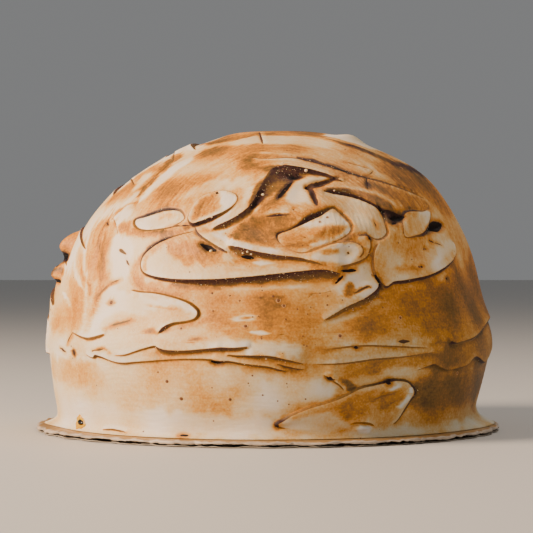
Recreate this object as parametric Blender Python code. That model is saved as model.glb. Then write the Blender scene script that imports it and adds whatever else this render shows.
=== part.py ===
"""Baked alaska: one large dome of spatula-swept, torched meringue on its scalloped
corrugated cake board.

Metres, +Z up.  The origin is the centre of the board's underside, where it stands on the
table.  The cake's front faces -Y.

A place on the meringue is given as (bearing, down): the bearing in degrees, 0 at the front
and growing towards the cake's right-hand side as seen from the front, and the distance in
millimetres down the meringue's skin from its crown.
"""
import math

import bmesh
import bpy
import numpy as np

MM = 0.001

# Board: two paper liners with a corrugated sheet between them.
BOARD_ACROSS = 0.254          # a ten-inch board, tip to tip over its scallops
SCALLOPS = 32
SCALLOP_DEPTH = 0.0019
POINTS_PER_SCALLOP = 5
LINER_THICK = 0.0005
GAP = 0.0003                  # left between pieces that touch
FLUTE_HEIGHT = 0.0016         # of the corrugated sheet, over its waves
FLUTE_PAPER = 0.0004
FLUTE_PITCH = 0.0065
STEPS_PER_FLUTE = 6
FLUTE_TURN = -45.0            # direction in which the waves run open, degrees from +X
FLUTE_INSET = 0.0012          # of the waves behind the liners' edge

BOTTOM_LINER_Z = 0.0
FLUTES_Z = BOTTOM_LINER_Z + LINER_THICK + GAP
TOP_LINER_Z = FLUTES_Z + FLUTE_HEIGHT + GAP
MERINGUE_Z = TOP_LINER_Z + LINER_THICK + GAP

# Meringue: a rounded dome above a short wall that draws in to its foot.
DOME_RADIUS = 0.119
DOME_POWER = 2.2              # 2 would be an ellipse; more has squarer shoulders
WAIST_Z = 0.0432              # where the dome passes into the wall
CROWN_Z = 0.1627
CROWN_LEAN = 0.012            # the crown stands this far to the right of the axis
WAIST_SWELL = 0.0024          # the dome's lower edge bulges over the wall
WAIST_SWELL_Z = 0.0505
WAIST_SWELL_REACH = 0.0130
WALL_DRAW_IN = 0.0075         # of the wall from the waist down
FOOT_FLARE = 0.0050           # back out again where it meets the board
FOOT_SMEAR = 0.0078           # more flare where it was spread to the board's edge
FOOT_SMEAR_BEARING = 90.0
FOOT_SMEAR_SPREAD = 24.0      # degrees to either side
FOOT_SMEAR_RISE = 0.006       # how far up the wall the smear starts
GRID_CELLS = 260              # of the skin's grid, before it is thinned
SKIN_TRIANGLES = 6400
SAMPLE_STEP = 0.0012          # between the samples of a sweep's edge

# The lip that a sweep of the spatula leaves: a sheet with a torn face along its edge.
# The sheet lies to the left of the edge as it is walked, seen from outside.
LIP_LEAST = 0.0004            # height of the thinnest lip
LIP_SLOPE = 0.52              # height that each unit of the face's width adds
LIP_REACH = 0.0060            # how far into its sheet a lip is felt
LIP_REACH_SLOPE = 1.3
LIP_DIP = 0.28                # dip in front of the face, as a share of its height
DIP_REACH = 0.0045
THIN_FACE = 0.0006            # a lip whose face is thinner than this fades out
LEAST_FACE = 0.0012           # no face is steeper than one this wide

# Sweeps that show as shapes of their own: (bearing, down, width of the torn face in mm).
# A closed one is a pool or a leaf, with its sheet inside.
FRONT_SWEEPS = {
    "tongue": [(-22, 126, .5), (-30, 131, 1.2), (-35, 142, 1.4), (-30, 150, 1.6),
               (-15, 151, 4), (-5, 150, 4.5), (4, 146, 4.5), (12, 145, 4.5), (18, 147, 2)],
    "shelf": [(-12, 134, 2), (-8, 135, 5), (-2, 138, 3), (5, 140, 2.6), (13, 146, .5)],
    "wave": [(-16, 124, 1), (-7, 110, 3), (-6, 98, 5), (-5, 87, 9), (1, 80, 10),
             (11, 83, 4), (18, 87, 2.4), (24, 93, 1)],
    "facet": [(26, 126, .5), (30, 130, 1), (34, 120, 1.4), (34, 113, 2.2), (30, 107, 2),
              (25, 103, 2.4), (19, 101, 2.2), (14, 99, 1)],
    "high crease": [(58, 102, .6), (50, 96, 1), (37, 90, 1.8), (27, 84, 2), (16, 77, 2),
                    (3, 75, 1.5), (-8, 76, 1), (-18, 72, .6)],
    "crown edge": [(68, 82, .8), (53, 66, 2.5), (34, 52, 3), (12, 39, 2.2), (-14, 30, 2),
                   (-40, 34, 2), (-56, 46, 1.6), (-64, 60, .6)],
    "shoulder": [(-82, 57, 1), (-64, 70, 3), (-57, 86, 3), (-53, 102, 2.6), (-56, 116, .8)],
    "low tongue": [(-28, 180, .8), (-27, 176, 2), (-19, 172, 1.2), (-16, 168, 3),
                   (-19, 164, 2.2), (-26, 160, 1), (-36, 158, .5)],
    "waist": [(-60, 188, .6), (-48, 191, 1.6), (-37, 194, 1.6), (-14, 191, 2), (0, 194, 1.6),
              (10, 197, 1)],
    "waist crest": [(-45, 186, .6), (-39, 190, 1), (-30, 186, 2.4), (-26, 186, 4),
                    (-15, 186, 2.4), (-3, 188, 2), (8, 192, .8)],
    "curl": [(27, 147, 1), (29, 155, 3), (24, 164, 3.2), (16, 170, 2.6), (11, 174, 1)],
    "right lobe": [(31, 132, .6), (28, 141, 1), (29, 153, 1.4), (36, 152, 2.4), (46, 149, 2.8),
                   (57, 142, 2.6), (64, 134, 1.6), (65, 124, .6)],
    "right skirt": [(38, 197, .6), (44, 192, 1.6), (53, 198, 2.4), (62, 192, 2), (72, 196, 2.4),
                    (84, 190, 1.6), (96, 193, .6)],
    "right shelf": [(50, 184, .6), (62, 181, 2), (80, 174, 2.4), (98, 172, 1)],
}
FRONT_POOLS = {
    "little pool": [(-27, 117, 1), (-33, 112, 1.2), (-40, 114, 1.2), (-44, 119, 1),
                    (-38, 124, 1), (-31, 123, 1)],
    "big pool": [(-22, 121, 2), (-17, 117, 2.4), (-12, 109, 1.6), (-15, 100, 1.2),
                 (-22, 102, 1), (-25, 112, .6)],
    "leaf": [(8, 138, .8), (15, 134, .8), (21, 127, 1.4), (21, 118, 1.6), (17, 110, 2),
             (11, 118, 3.4), (3, 127, 1.2)],
    "side facet": [(41, 128, .5), (52, 122, 2.4), (58, 113, 2.6), (52, 113, 1), (42, 115, 1.2)],
    "low leaf": [(4, 224, 1.4), (20, 226, .4), (36, 221, .6), (40, 211, 2), (36, 203, 1.8),
                 (22, 206, 1), (12, 213, 1)],
}

# Sweeps round the rest of the dome: rows of hooked strokes laid one after another.
SIDE_ROWS = [  # (down of the row, first and last bearing, strokes, length and hook in mm)
    (58, 128, 292, 3, 62, 13),
    (88, 92, 278, 4, 74, 16),
    (122, 84, 290, 5, 78, 17),
    (154, 100, 284, 5, 70, 14),
]
SIDE_WAIST = [(98, 193), (118, 189), (142, 194), (165, 190), (188, 195), (212, 190),
              (236, 193), (262, 189), (288, 192), (302, 190)]
SIDE_LEAF = [(176, 226), (192, 223), (206, 214), (203, 205), (190, 207), (180, 216)]

# Small peaks that the spatula pulled out of the left side: bearing, down, half width across,
# half height down, and how far they stand out, all lengths in mm.
PEAKS = [(-85, 132, 6, 9, 7.5), (-79, 148, 5, 6.5, 5.5), (142, 96, 6, 8, 7), (232, 70, 6, 7, 6)]


def clear_scene():
    for item in list(bpy.data.objects):
        bpy.data.objects.remove(item, do_unlink=True)


def make_material(name, colour, roughness, metallic=0.0):
    material = bpy.data.materials.new(name)
    material.use_nodes = True
    shader = material.node_tree.nodes["Principled BSDF"]
    shader.inputs["Base Color"].default_value = (*colour, 1.0)
    shader.inputs["Roughness"].default_value = roughness
    shader.inputs["Metallic"].default_value = metallic
    material.diffuse_color = (*colour, 1.0)
    return material


def add_object(name, mesh, material, parent, height=0.0):
    """Puts a mesh whose underside is at its own z = 0 at a height above the table."""
    mesh.materials.append(material)
    thing = bpy.data.objects.new(name, mesh)
    thing.location = (0.0, 0.0, height)
    thing.parent = parent
    bpy.context.scene.collection.objects.link(thing)
    return thing


# ---- board ------------------------------------------------------------------------------


def board_radius(angle, inset=0.0):
    """Radius of the scalloped outline: round lobes that meet in shallow notches."""
    lobe = abs(math.cos(0.5 * SCALLOPS * angle)) ** 0.7
    return BOARD_ACROSS / 2 - inset - SCALLOP_DEPTH * (1.0 - lobe)


def liner_mesh(name):
    count = SCALLOPS * POINTS_PER_SCALLOP
    mesh = bmesh.new()
    rim = []
    for step in range(count):
        angle = math.tau * step / count
        radius = board_radius(angle)
        rim.append(mesh.verts.new((radius * math.cos(angle), radius * math.sin(angle), 0.0)))
    underside = mesh.faces.new(rim)
    raised = bmesh.ops.extrude_face_region(mesh, geom=[underside], use_keep_orig=True)
    lifted = [item for item in raised["geom"] if isinstance(item, bmesh.types.BMVert)]
    bmesh.ops.translate(mesh, verts=lifted, vec=(0.0, 0.0, LINER_THICK))
    bmesh.ops.recalc_face_normals(mesh, faces=mesh.faces)
    data = bpy.data.meshes.new(name)
    mesh.to_mesh(data)
    mesh.free()
    return data


def flutes_mesh(name):
    """The corrugated sheet: waves across the board, each line cut off at the outline."""
    half = BOARD_ACROSS / 2 - FLUTE_INSET - 0.002
    steps = 2 * int(half / FLUTE_PITCH * STEPS_PER_FLUTE)
    swing = (FLUTE_HEIGHT - FLUTE_PAPER) / 2
    mesh = bmesh.new()
    rows = []
    for step in range(steps + 1):
        across = (step - steps / 2) * FLUTE_PITCH / STEPS_PER_FLUTE
        wave = swing * (1.0 + math.cos(math.tau * across / FLUTE_PITCH))
        reach = flute_reach(across)
        row = []
        for along, lift in ((-reach, 0), (reach, 0), (reach, FLUTE_PAPER), (-reach, FLUTE_PAPER)):
            row.append(mesh.verts.new((along, across, wave + lift)))
        rows.append(row)
    for near, far in zip(rows, rows[1:]):
        for corner in range(4):
            following = (corner + 1) % 4
            mesh.faces.new((near[corner], near[following], far[following], far[corner]))
    mesh.faces.new(rows[0])
    mesh.faces.new(rows[-1])
    bmesh.ops.recalc_face_normals(mesh, faces=mesh.faces)
    data = bpy.data.meshes.new(name)
    mesh.to_mesh(data)
    mesh.free()
    return data


def flute_reach(across):
    """How far a wave's line runs before it meets the notches' inner circle."""
    inner = BOARD_ACROSS / 2 - SCALLOP_DEPTH - FLUTE_INSET
    return math.sqrt(max(inner ** 2 - across ** 2, 0.0))


# ---- meringue ---------------------------------------------------------------------------


def skin_profile():
    """Radius and height of the plain dome and wall, by distance down from the crown."""
    climb = np.radians(np.linspace(90.0, 0.0, 1500))
    dome_r = DOME_RADIUS * np.cos(climb).clip(0.0) ** (2 / DOME_POWER)
    dome_z = WAIST_Z + (CROWN_Z - WAIST_Z) * np.sin(climb) ** (2 / DOME_POWER)
    fall = np.linspace(0.0, 1.0, 300)[1:]
    wall_r = DOME_RADIUS - WALL_DRAW_IN * fall ** 1.9 + FOOT_FLARE * fall ** 10
    wall_z = WAIST_Z - fall * (WAIST_Z - MERINGUE_Z)
    radius = np.concatenate([dome_r, wall_r])
    height = np.concatenate([dome_z, wall_z])
    radius += WAIST_SWELL * np.exp(-((height - WAIST_SWELL_Z) / WAIST_SWELL_REACH) ** 2)
    steps = np.hypot(np.diff(radius), np.diff(height))
    return np.concatenate([[0.0], np.cumsum(steps)]), radius, height


PROFILE = skin_profile()
SKIN_LENGTH = PROFILE[0][-1]


def on_skin(bearing, down):
    """Points of the plain skin; bearing in degrees and down in metres, as arrays."""
    around = np.radians(bearing)
    radius = np.interp(down, PROFILE[0], PROFILE[1])
    height = np.interp(down, PROFILE[0], PROFILE[2])
    climb = ((height - WAIST_Z) / (CROWN_Z - WAIST_Z)).clip(0.0, 1.0)
    return np.stack([radius * np.sin(around) + CROWN_LEAN * climb ** 3,
                     -radius * np.cos(around), height], axis=-1)


def skin_normals(bearing, down):
    """Outward unit normals of the plain skin, from neighbouring points."""
    down = np.clip(down, 0.0015, SKIN_LENGTH - 0.001)
    turn = 0.3
    step = 0.0008
    around = on_skin(bearing + turn, down) - on_skin(bearing - turn, down)
    along = on_skin(bearing, down + step) - on_skin(bearing, down - step)
    normal = np.cross(along, around)
    return normal / np.linalg.norm(normal, axis=-1, keepdims=True)


def smooth_path(points, closed):
    """A Catmull-Rom curve through rows of numbers, eight samples to a span."""
    points = np.array(points, dtype=float)
    if closed:
        padded = np.concatenate([points[-1:], points, points[:2]])
    else:
        padded = np.concatenate([2 * points[:1] - points[1:2], points,
                                 2 * points[-1:] - points[-2:-1]])
    rows = []
    for before, start, end, after in zip(padded, padded[1:], padded[2:], padded[3:]):
        for share in np.linspace(0.0, 1.0, 8, endpoint=False):
            rows.append(0.5 * (2 * start + (end - before) * share
                               + (2 * before - 5 * start + 4 * end - after) * share ** 2
                               + (3 * start - before - 3 * end + after) * share ** 3))
    rows.append(points[0] if closed else points[-1])
    return np.array(rows)


def sweep_samples(path, closed=False):
    """Evenly spaced places, sheet-side directions and face widths along a sweep's edge."""
    curve = smooth_path(path, closed)
    places = on_skin(curve[:, 0], curve[:, 1] * MM)
    run = np.concatenate([[0.0], np.cumsum(np.linalg.norm(np.diff(places, axis=0), axis=1))])
    even = np.linspace(0.0, run[-1], max(8, int(run[-1] / SAMPLE_STEP)))
    bearing = np.interp(even, run, curve[:, 0])
    down = np.interp(even, run, curve[:, 1]) * MM
    width = np.interp(even, run, curve[:, 2]) * MM
    if not closed:
        ends = np.minimum(even, even[-1] - even)
        width = width * (ends / 0.008).clip(0.0, 1.0) ** 0.5
    places = on_skin(bearing, down)
    ahead = np.gradient(places, axis=0)
    sheet_side = np.cross(skin_normals(bearing, down), ahead)
    sheet_side /= np.linalg.norm(sheet_side, axis=1, keepdims=True)
    return places, sheet_side, width


def lip_relief(places, path, closed=False):
    """Height that one sweep adds at each place of the skin."""
    edge, sheet_side, widths = sweep_samples(path, closed)
    relief = np.zeros(len(places))
    reach = 0.030
    near = ((places > edge.min(axis=0) - reach) & (places < edge.max(axis=0) + reach)).all(axis=1)
    near = np.flatnonzero(near)
    for start in range(0, len(near), 4000):
        block = near[start:start + 4000]
        offset = places[block][:, None, :] - edge[None, :, :]
        closest = np.einsum("ijk,ijk->ij", offset, offset).argmin(axis=1)
        rows = np.arange(len(block))
        offset = offset[rows, closest]
        inward = np.einsum("ij,ij->i", offset, sheet_side[closest])
        away = np.linalg.norm(offset, axis=1)
        inward = np.where(inward >= 0.0, away, -away)
        relief[block] = lip_height(inward, widths[closest])
    return relief


def lip_height(inward, width):
    """Height across a lip; inward is the distance from its edge into the sheet."""
    height = (LIP_LEAST + LIP_SLOPE * width) * (width / THIN_FACE).clip(0.0, 1.0)
    dip = LIP_DIP * height
    sheet = height * np.exp(-(inward.clip(0.0) / (LIP_REACH + LIP_REACH_SLOPE * width)) ** 1.5)
    face = width.clip(LEAST_FACE)
    fallen = (-inward / face).clip(0.0, 1.0)
    fallen = fallen * fallen * (3.0 - 2.0 * fallen)
    fading = np.exp(-((-inward - face).clip(0.0) / DIP_REACH) ** 2)
    torn = np.where(-inward < face, height - fallen * (height + dip), -dip * fading)
    return np.where(inward >= 0.0, sheet, torn)


def peak_relief(places, peak):
    """A small rounded peak, pulled a little downwards at its tip."""
    bearing, down, across, along, stand = peak
    centre = on_skin(np.array([bearing]), np.array([down * MM]))[0]
    below = on_skin(np.array([bearing]), np.array([(down + 1.0) * MM]))[0]
    fall = (below - centre) / np.linalg.norm(below - centre)
    offset = places - centre
    lower = offset @ fall
    aside = np.sqrt((np.einsum("ij,ij->i", offset, offset) - lower ** 2).clip(0.0))
    distance = np.hypot(aside / (across * MM), lower / (along * MM))
    return stand * MM * (1.0 - distance ** 2).clip(0.0) ** 1.4


def hooked_stroke(bearing, down, length, hook, width):
    """One stroke of a row: a long shallow arc that ends in a hook back under itself."""
    per_degree = math.radians(1.0) * np.interp(down * MM, PROFILE[0], PROFILE[1]) / MM
    span = length / per_degree
    bend = hook / per_degree
    return [(bearing + span, down + 0.7 * hook, 0.4 * width),
            (bearing + 0.66 * span, down + 0.15 * hook, 0.8 * width),
            (bearing + 0.33 * span, down - 0.2 * hook, width),
            (bearing, down - 0.1 * hook, width),
            (bearing - 0.75 * bend, down + 0.5 * hook, 0.7 * width),
            (bearing - 0.15 * bend, down + 1.15 * hook, 0.5 * width),
            (bearing + 0.9 * bend, down + 1.2 * hook, 0.3 * width)]


def side_sweeps():
    """The rows of strokes that carry the pattern round the sides, back and crown."""
    sweeps = []
    for row, (down, first, last, strokes, length, hook) in enumerate(SIDE_ROWS):
        for index in range(strokes):
            share = (index + 0.5) / strokes
            wander = math.sin(2.4 * index + 1.7 * row)
            bearing = first + share * (last - first) - 14.0 + 5.0 * wander
            size = 1.0 + 0.22 * math.sin(5.1 * index + row)
            width = 2.4 + 1.2 * math.sin(3.3 * index + 2.0 * row)
            sweeps.append(hooked_stroke(bearing, down + 6.0 * wander, length * size,
                                        hook * size, width))
    sweeps.append([(bearing, down, 1.8) for bearing, down in SIDE_WAIST])
    return sweeps


def foot_smear(bearing, height):
    """How far the wall is smeared outwards near the board, towards one side."""
    away = (bearing - FOOT_SMEAR_BEARING + 180.0) % 360.0 - 180.0
    reach = np.exp(-(away / FOOT_SMEAR_SPREAD) ** 2)
    low = (1.0 - (height - MERINGUE_Z) / FOOT_SMEAR_RISE).clip(0.0, 1.0)
    return FOOT_SMEAR * reach * low ** 2


def disc_grid():
    """A square grid folded on to a disc: bearing, share of the radius, and the quads."""
    side = np.linspace(-1.0, 1.0, GRID_CELLS + 1)
    a, b = np.meshgrid(side, side, indexing="ij")
    wide = np.abs(a) >= np.abs(b)
    safe_a = np.where(a == 0.0, 1.0, a)
    safe_b = np.where(b == 0.0, 1.0, b)
    radius = np.where(wide, a, b)
    angle = np.where(wide, 0.25 * math.pi * b / safe_a, 0.5 * math.pi - 0.25 * math.pi * a / safe_b)
    bearing = np.degrees(np.arctan2(radius * np.cos(angle), -radius * np.sin(angle)))
    index = np.arange(a.size).reshape(a.shape)
    quads = np.stack([index[:-1, :-1], index[1:, :-1], index[1:, 1:], index[:-1, 1:]], axis=-1)
    rim = np.concatenate([index[:-1, 0], index[-1, :-1], index[:0:-1, -1], index[0, :0:-1]])
    return bearing.ravel(), np.abs(radius).ravel(), quads.reshape(-1, 4), rim


def meringue_points(bearing, down):
    """The skin with its lips, peaks and smeared foot."""
    places = on_skin(bearing, down)
    normals = skin_normals(bearing, down)
    relief = np.zeros(len(places))
    for path in list(FRONT_SWEEPS.values()) + side_sweeps():
        relief += lip_relief(places, path)
    side_leaf = [(turn, fall, 1.2) for turn, fall in SIDE_LEAF]
    for path in list(FRONT_POOLS.values()) + [side_leaf]:
        relief += lip_relief(places, path, closed=True)
    for peak in PEAKS:
        relief += peak_relief(places, peak)
    above_foot = ((places[:, 2] - MERINGUE_Z) / 0.004).clip(0.0, 1.0)
    places = places + normals * (relief * above_foot)[:, None]
    outward = np.stack([np.sin(np.radians(bearing)), -np.cos(np.radians(bearing)),
                        np.zeros(len(bearing))], axis=-1)
    places += outward * foot_smear(bearing, places[:, 2])[:, None]
    places[:, 2] -= MERINGUE_Z
    return places


def meringue_mesh(name):
    bearing, share, quads, rim = disc_grid()
    places = meringue_points(bearing, share * SKIN_LENGTH)
    places[rim, 2] = 0.0
    centre = len(places)
    places = np.concatenate([places, [[0.0, 0.0, 0.0]]])
    faces = [tuple(quad) for quad in quads.tolist()]
    following = np.roll(rim, -1)
    faces += [(int(after), int(here), centre) for here, after in zip(rim, following)]
    data = bpy.data.meshes.new(name)
    data.from_pydata(places.tolist(), [], faces)
    mesh = bmesh.new()
    mesh.from_mesh(data)
    bmesh.ops.recalc_face_normals(mesh, faces=mesh.faces)
    mesh.to_mesh(data)
    mesh.free()
    data.shade_smooth()
    return data


def thin_out(thing, triangles):
    """Thins a dense mesh, which keeps most of its triangles along its lips."""
    modifier = thing.modifiers.new("thin out", "DECIMATE")
    modifier.decimate_type = "COLLAPSE"
    modifier.ratio = triangles / (2.0 * GRID_CELLS * GRID_CELLS + 4.0 * GRID_CELLS)


def build():
    clear_scene()
    cake = bpy.data.objects.new("baked_alaska", None)
    bpy.context.scene.collection.objects.link(cake)
    kraft = make_material("kraft liner", (0.52, 0.40, 0.27), 0.85)
    fluting = make_material("fluting paper", (0.38, 0.28, 0.19), 0.9)
    gold_paper = make_material("gold laminated paper", (0.58, 0.40, 0.17), 0.4, 0.3)
    meringue = make_material("torched meringue", (0.72, 0.52, 0.33), 0.6)
    add_object("board_bottom_liner", liner_mesh("board_bottom_liner"), kraft, cake,
               BOTTOM_LINER_Z)
    flutes = add_object("board_flutes", flutes_mesh("board_flutes"), fluting, cake, FLUTES_Z)
    flutes.rotation_euler = (0.0, 0.0, math.radians(FLUTE_TURN))
    add_object("board_top_liner", liner_mesh("board_top_liner"), gold_paper, cake, TOP_LINER_Z)
    dome = add_object("meringue", meringue_mesh("meringue"), meringue, cake, MERINGUE_Z)
    thin_out(dome, SKIN_TRIANGLES)


build()
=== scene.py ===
import math
from functools import partial

import bmesh
import bpy
import numpy as np
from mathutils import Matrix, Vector
from mathutils.bvhtree import BVHTree


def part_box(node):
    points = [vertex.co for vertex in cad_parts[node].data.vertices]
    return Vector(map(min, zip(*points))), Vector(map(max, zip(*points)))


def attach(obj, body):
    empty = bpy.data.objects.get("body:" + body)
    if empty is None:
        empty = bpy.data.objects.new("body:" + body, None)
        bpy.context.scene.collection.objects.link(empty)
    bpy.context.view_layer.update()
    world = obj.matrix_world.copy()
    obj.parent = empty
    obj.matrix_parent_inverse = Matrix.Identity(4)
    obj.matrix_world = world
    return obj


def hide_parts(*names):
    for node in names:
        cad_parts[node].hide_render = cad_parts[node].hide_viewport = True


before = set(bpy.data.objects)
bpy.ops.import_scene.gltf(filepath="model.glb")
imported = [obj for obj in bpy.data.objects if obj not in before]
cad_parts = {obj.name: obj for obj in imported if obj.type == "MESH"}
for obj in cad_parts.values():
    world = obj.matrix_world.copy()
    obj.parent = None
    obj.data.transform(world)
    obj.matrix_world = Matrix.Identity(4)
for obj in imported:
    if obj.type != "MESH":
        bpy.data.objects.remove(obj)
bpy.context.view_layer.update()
mm = 0.001
fineness = 1.0      # more than 1 gives a coarser skin


def hexColour(code):
    # sRGB hex to the linear colour that Blender's sockets hold
    parts = [int(code[i:i + 2], 16) / 255 for i in (0, 2, 4)]
    linear = [p / 12.92 if p <= 0.04045 else ((p + 0.055) / 1.055) ** 2.4 for p in parts]
    return (*linear, 1.0)


def addNode(tree, kind, inputs=(), operation=None, **settings):
    # One node with its settings and links. "Math" stands for "ShaderNodeMath" and so on. The
    # inputs are in the sockets' order or by name: numbers, colours, materials, nodes or outputs.
    node = tree.nodes.new(kind if "Node" in kind else "ShaderNode" + kind)
    if operation:
        node.operation = operation
    for name, value in settings.items():
        setattr(node, name, value)
    for socket, value in inputs.items() if isinstance(inputs, dict) else enumerate(inputs):
        if isinstance(value, bpy.types.Node):
            value = value.outputs[0]
        if isinstance(value, bpy.types.NodeSocket):
            tree.links.new(value, node.inputs[socket])
        else:
            node.inputs[socket].default_value = value
    return node


eased = dict(interpolation_type="SMOOTHSTEP")     # a range that starts and stops softly


def newMaterial(name):
    material = bpy.data.materials.new(name)
    material.use_nodes = True
    shader = material.node_tree.nodes["Principled BSDF"]
    return material, material.node_tree, shader


def setRamp(node, stops):
    ramp = node.color_ramp
    while len(ramp.elements) < len(stops):
        ramp.elements.new(0.5)
    for element, (place, colour) in zip(ramp.elements, stops):
        element.position = place
        element.color = hexColour(colour)


def addObject(name, data):
    made = bpy.data.objects.new(name, data)
    bpy.context.scene.collection.objects.link(made)
    return made


def keepEvaluated(piece):
    # the mesh that the piece's modifiers make takes the place of its plain one
    depsgraph = bpy.context.evaluated_depsgraph_get()
    made = bpy.data.meshes.new_from_object(piece.evaluated_get(depsgraph), depsgraph=depsgraph)
    piece.modifiers.clear()
    piece.data = made
    made.name = piece.name
    return made


def smoothStep(value):
    value = np.clip(value, 0.0, 1.0)
    return value * value * (3.0 - 2.0 * value)


def turnFrom(bearing, middle):
    # degrees from middle to bearing, by the shorter way round
    return (bearing - middle + 180.0) % 360.0 - 180.0


def waves(places, rng, size, count=12):
    # soft unevenness of about one unit, whose bumps are about one size apart
    total = np.zeros(len(places))
    for _ in range(count):
        way = rng.normal(size=3)
        way /= np.linalg.norm(way)
        pitch = size * rng.uniform(0.7, 1.6)
        total += np.sin(math.tau * (places @ way) / pitch + rng.uniform(0, math.tau))
    return total / math.sqrt(count / 2)


# The meringue's plain skin is a dome above a short wall. A place on it is a bearing in
# degrees, 0 at the front and growing to the right as seen from the front, and a distance down
# the skin from the crown.
meringueLow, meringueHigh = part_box("meringue")
boardLow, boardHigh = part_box("board_top_liner")

skin = dict(
    boardMargin=0.008,    # the dome's radius is this much less than the board's
    power=2.2,            # 2 would be an ellipse; more has squarer shoulders
    wallHeight=0.0397,    # from the foot up to the dome's lower edge
    crownLean=0.012,      # the crown stands to the right of the axis
    swell=0.0024,         # the dome's lower edge bulges over the wall,
    swellUp=0.047,        # this far above the foot,
    swellReach=0.013,     # and up and down to about here
    wallDrawIn=0.0075,    # the wall goes in towards the foot,
    footFlare=0.005,      # whose last few mm spread on the board
    step=0.0008,          # how far apart the places are that give the skin's slope
)
domeRadius = (boardHigh.x - boardLow.x) / 2 - skin["boardMargin"]
footZ = meringueLow.z
waistZ = footZ + skin["wallHeight"]
crownZ = meringueHigh.z - 0.0001               # a hair under the solid's top


def skinProfile():
    climb = np.radians(np.linspace(90.0, 0.0, 1500))
    domeR = domeRadius * np.cos(climb).clip(0.0) ** (2 / skin["power"])
    domeZ = waistZ + (crownZ - waistZ) * np.sin(climb) ** (2 / skin["power"])
    fall = np.linspace(0.0, 1.0, 300)[1:]
    wallR = domeRadius - skin["wallDrawIn"] * fall ** 1.9 + skin["footFlare"] * fall ** 10
    wallZ = waistZ - fall * (waistZ - footZ)
    radius = np.concatenate([domeR, wallR])
    height = np.concatenate([domeZ, wallZ])
    radius += skin["swell"] * np.exp(-((height - footZ - skin["swellUp"]) / skin["swellReach"]) ** 2)
    run = np.concatenate([[0.0], np.cumsum(np.hypot(np.diff(radius), np.diff(height)))])
    return run, radius, height


profile = skinProfile()
skinLength = profile[0][-1]


def onSkin(bearing, down):
    around = np.radians(bearing)
    radius = np.interp(down, profile[0], profile[1])
    height = np.interp(down, profile[0], profile[2])
    climb = ((height - waistZ) / (crownZ - waistZ)).clip(0.0, 1.0)
    return np.stack([radius * np.sin(around) + skin["crownLean"] * climb ** 3,
                     -radius * np.cos(around), height], axis=-1)


def skinNormal(bearing, down):
    down = np.clip(down, 0.0015, skinLength - 0.001)
    around = onSkin(bearing + 0.3, down) - onSkin(bearing - 0.3, down)
    along = onSkin(bearing, down + skin["step"]) - onSkin(bearing, down - skin["step"])
    normal = np.cross(along, around)
    return normal / np.linalg.norm(normal, axis=-1, keepdims=True)


def mmPerDegree(down):
    # how many mm one degree of bearing is, this many mm down the skin
    return math.radians(1.0) * np.interp(down * mm, profile[0], profile[1]) / mm


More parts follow.
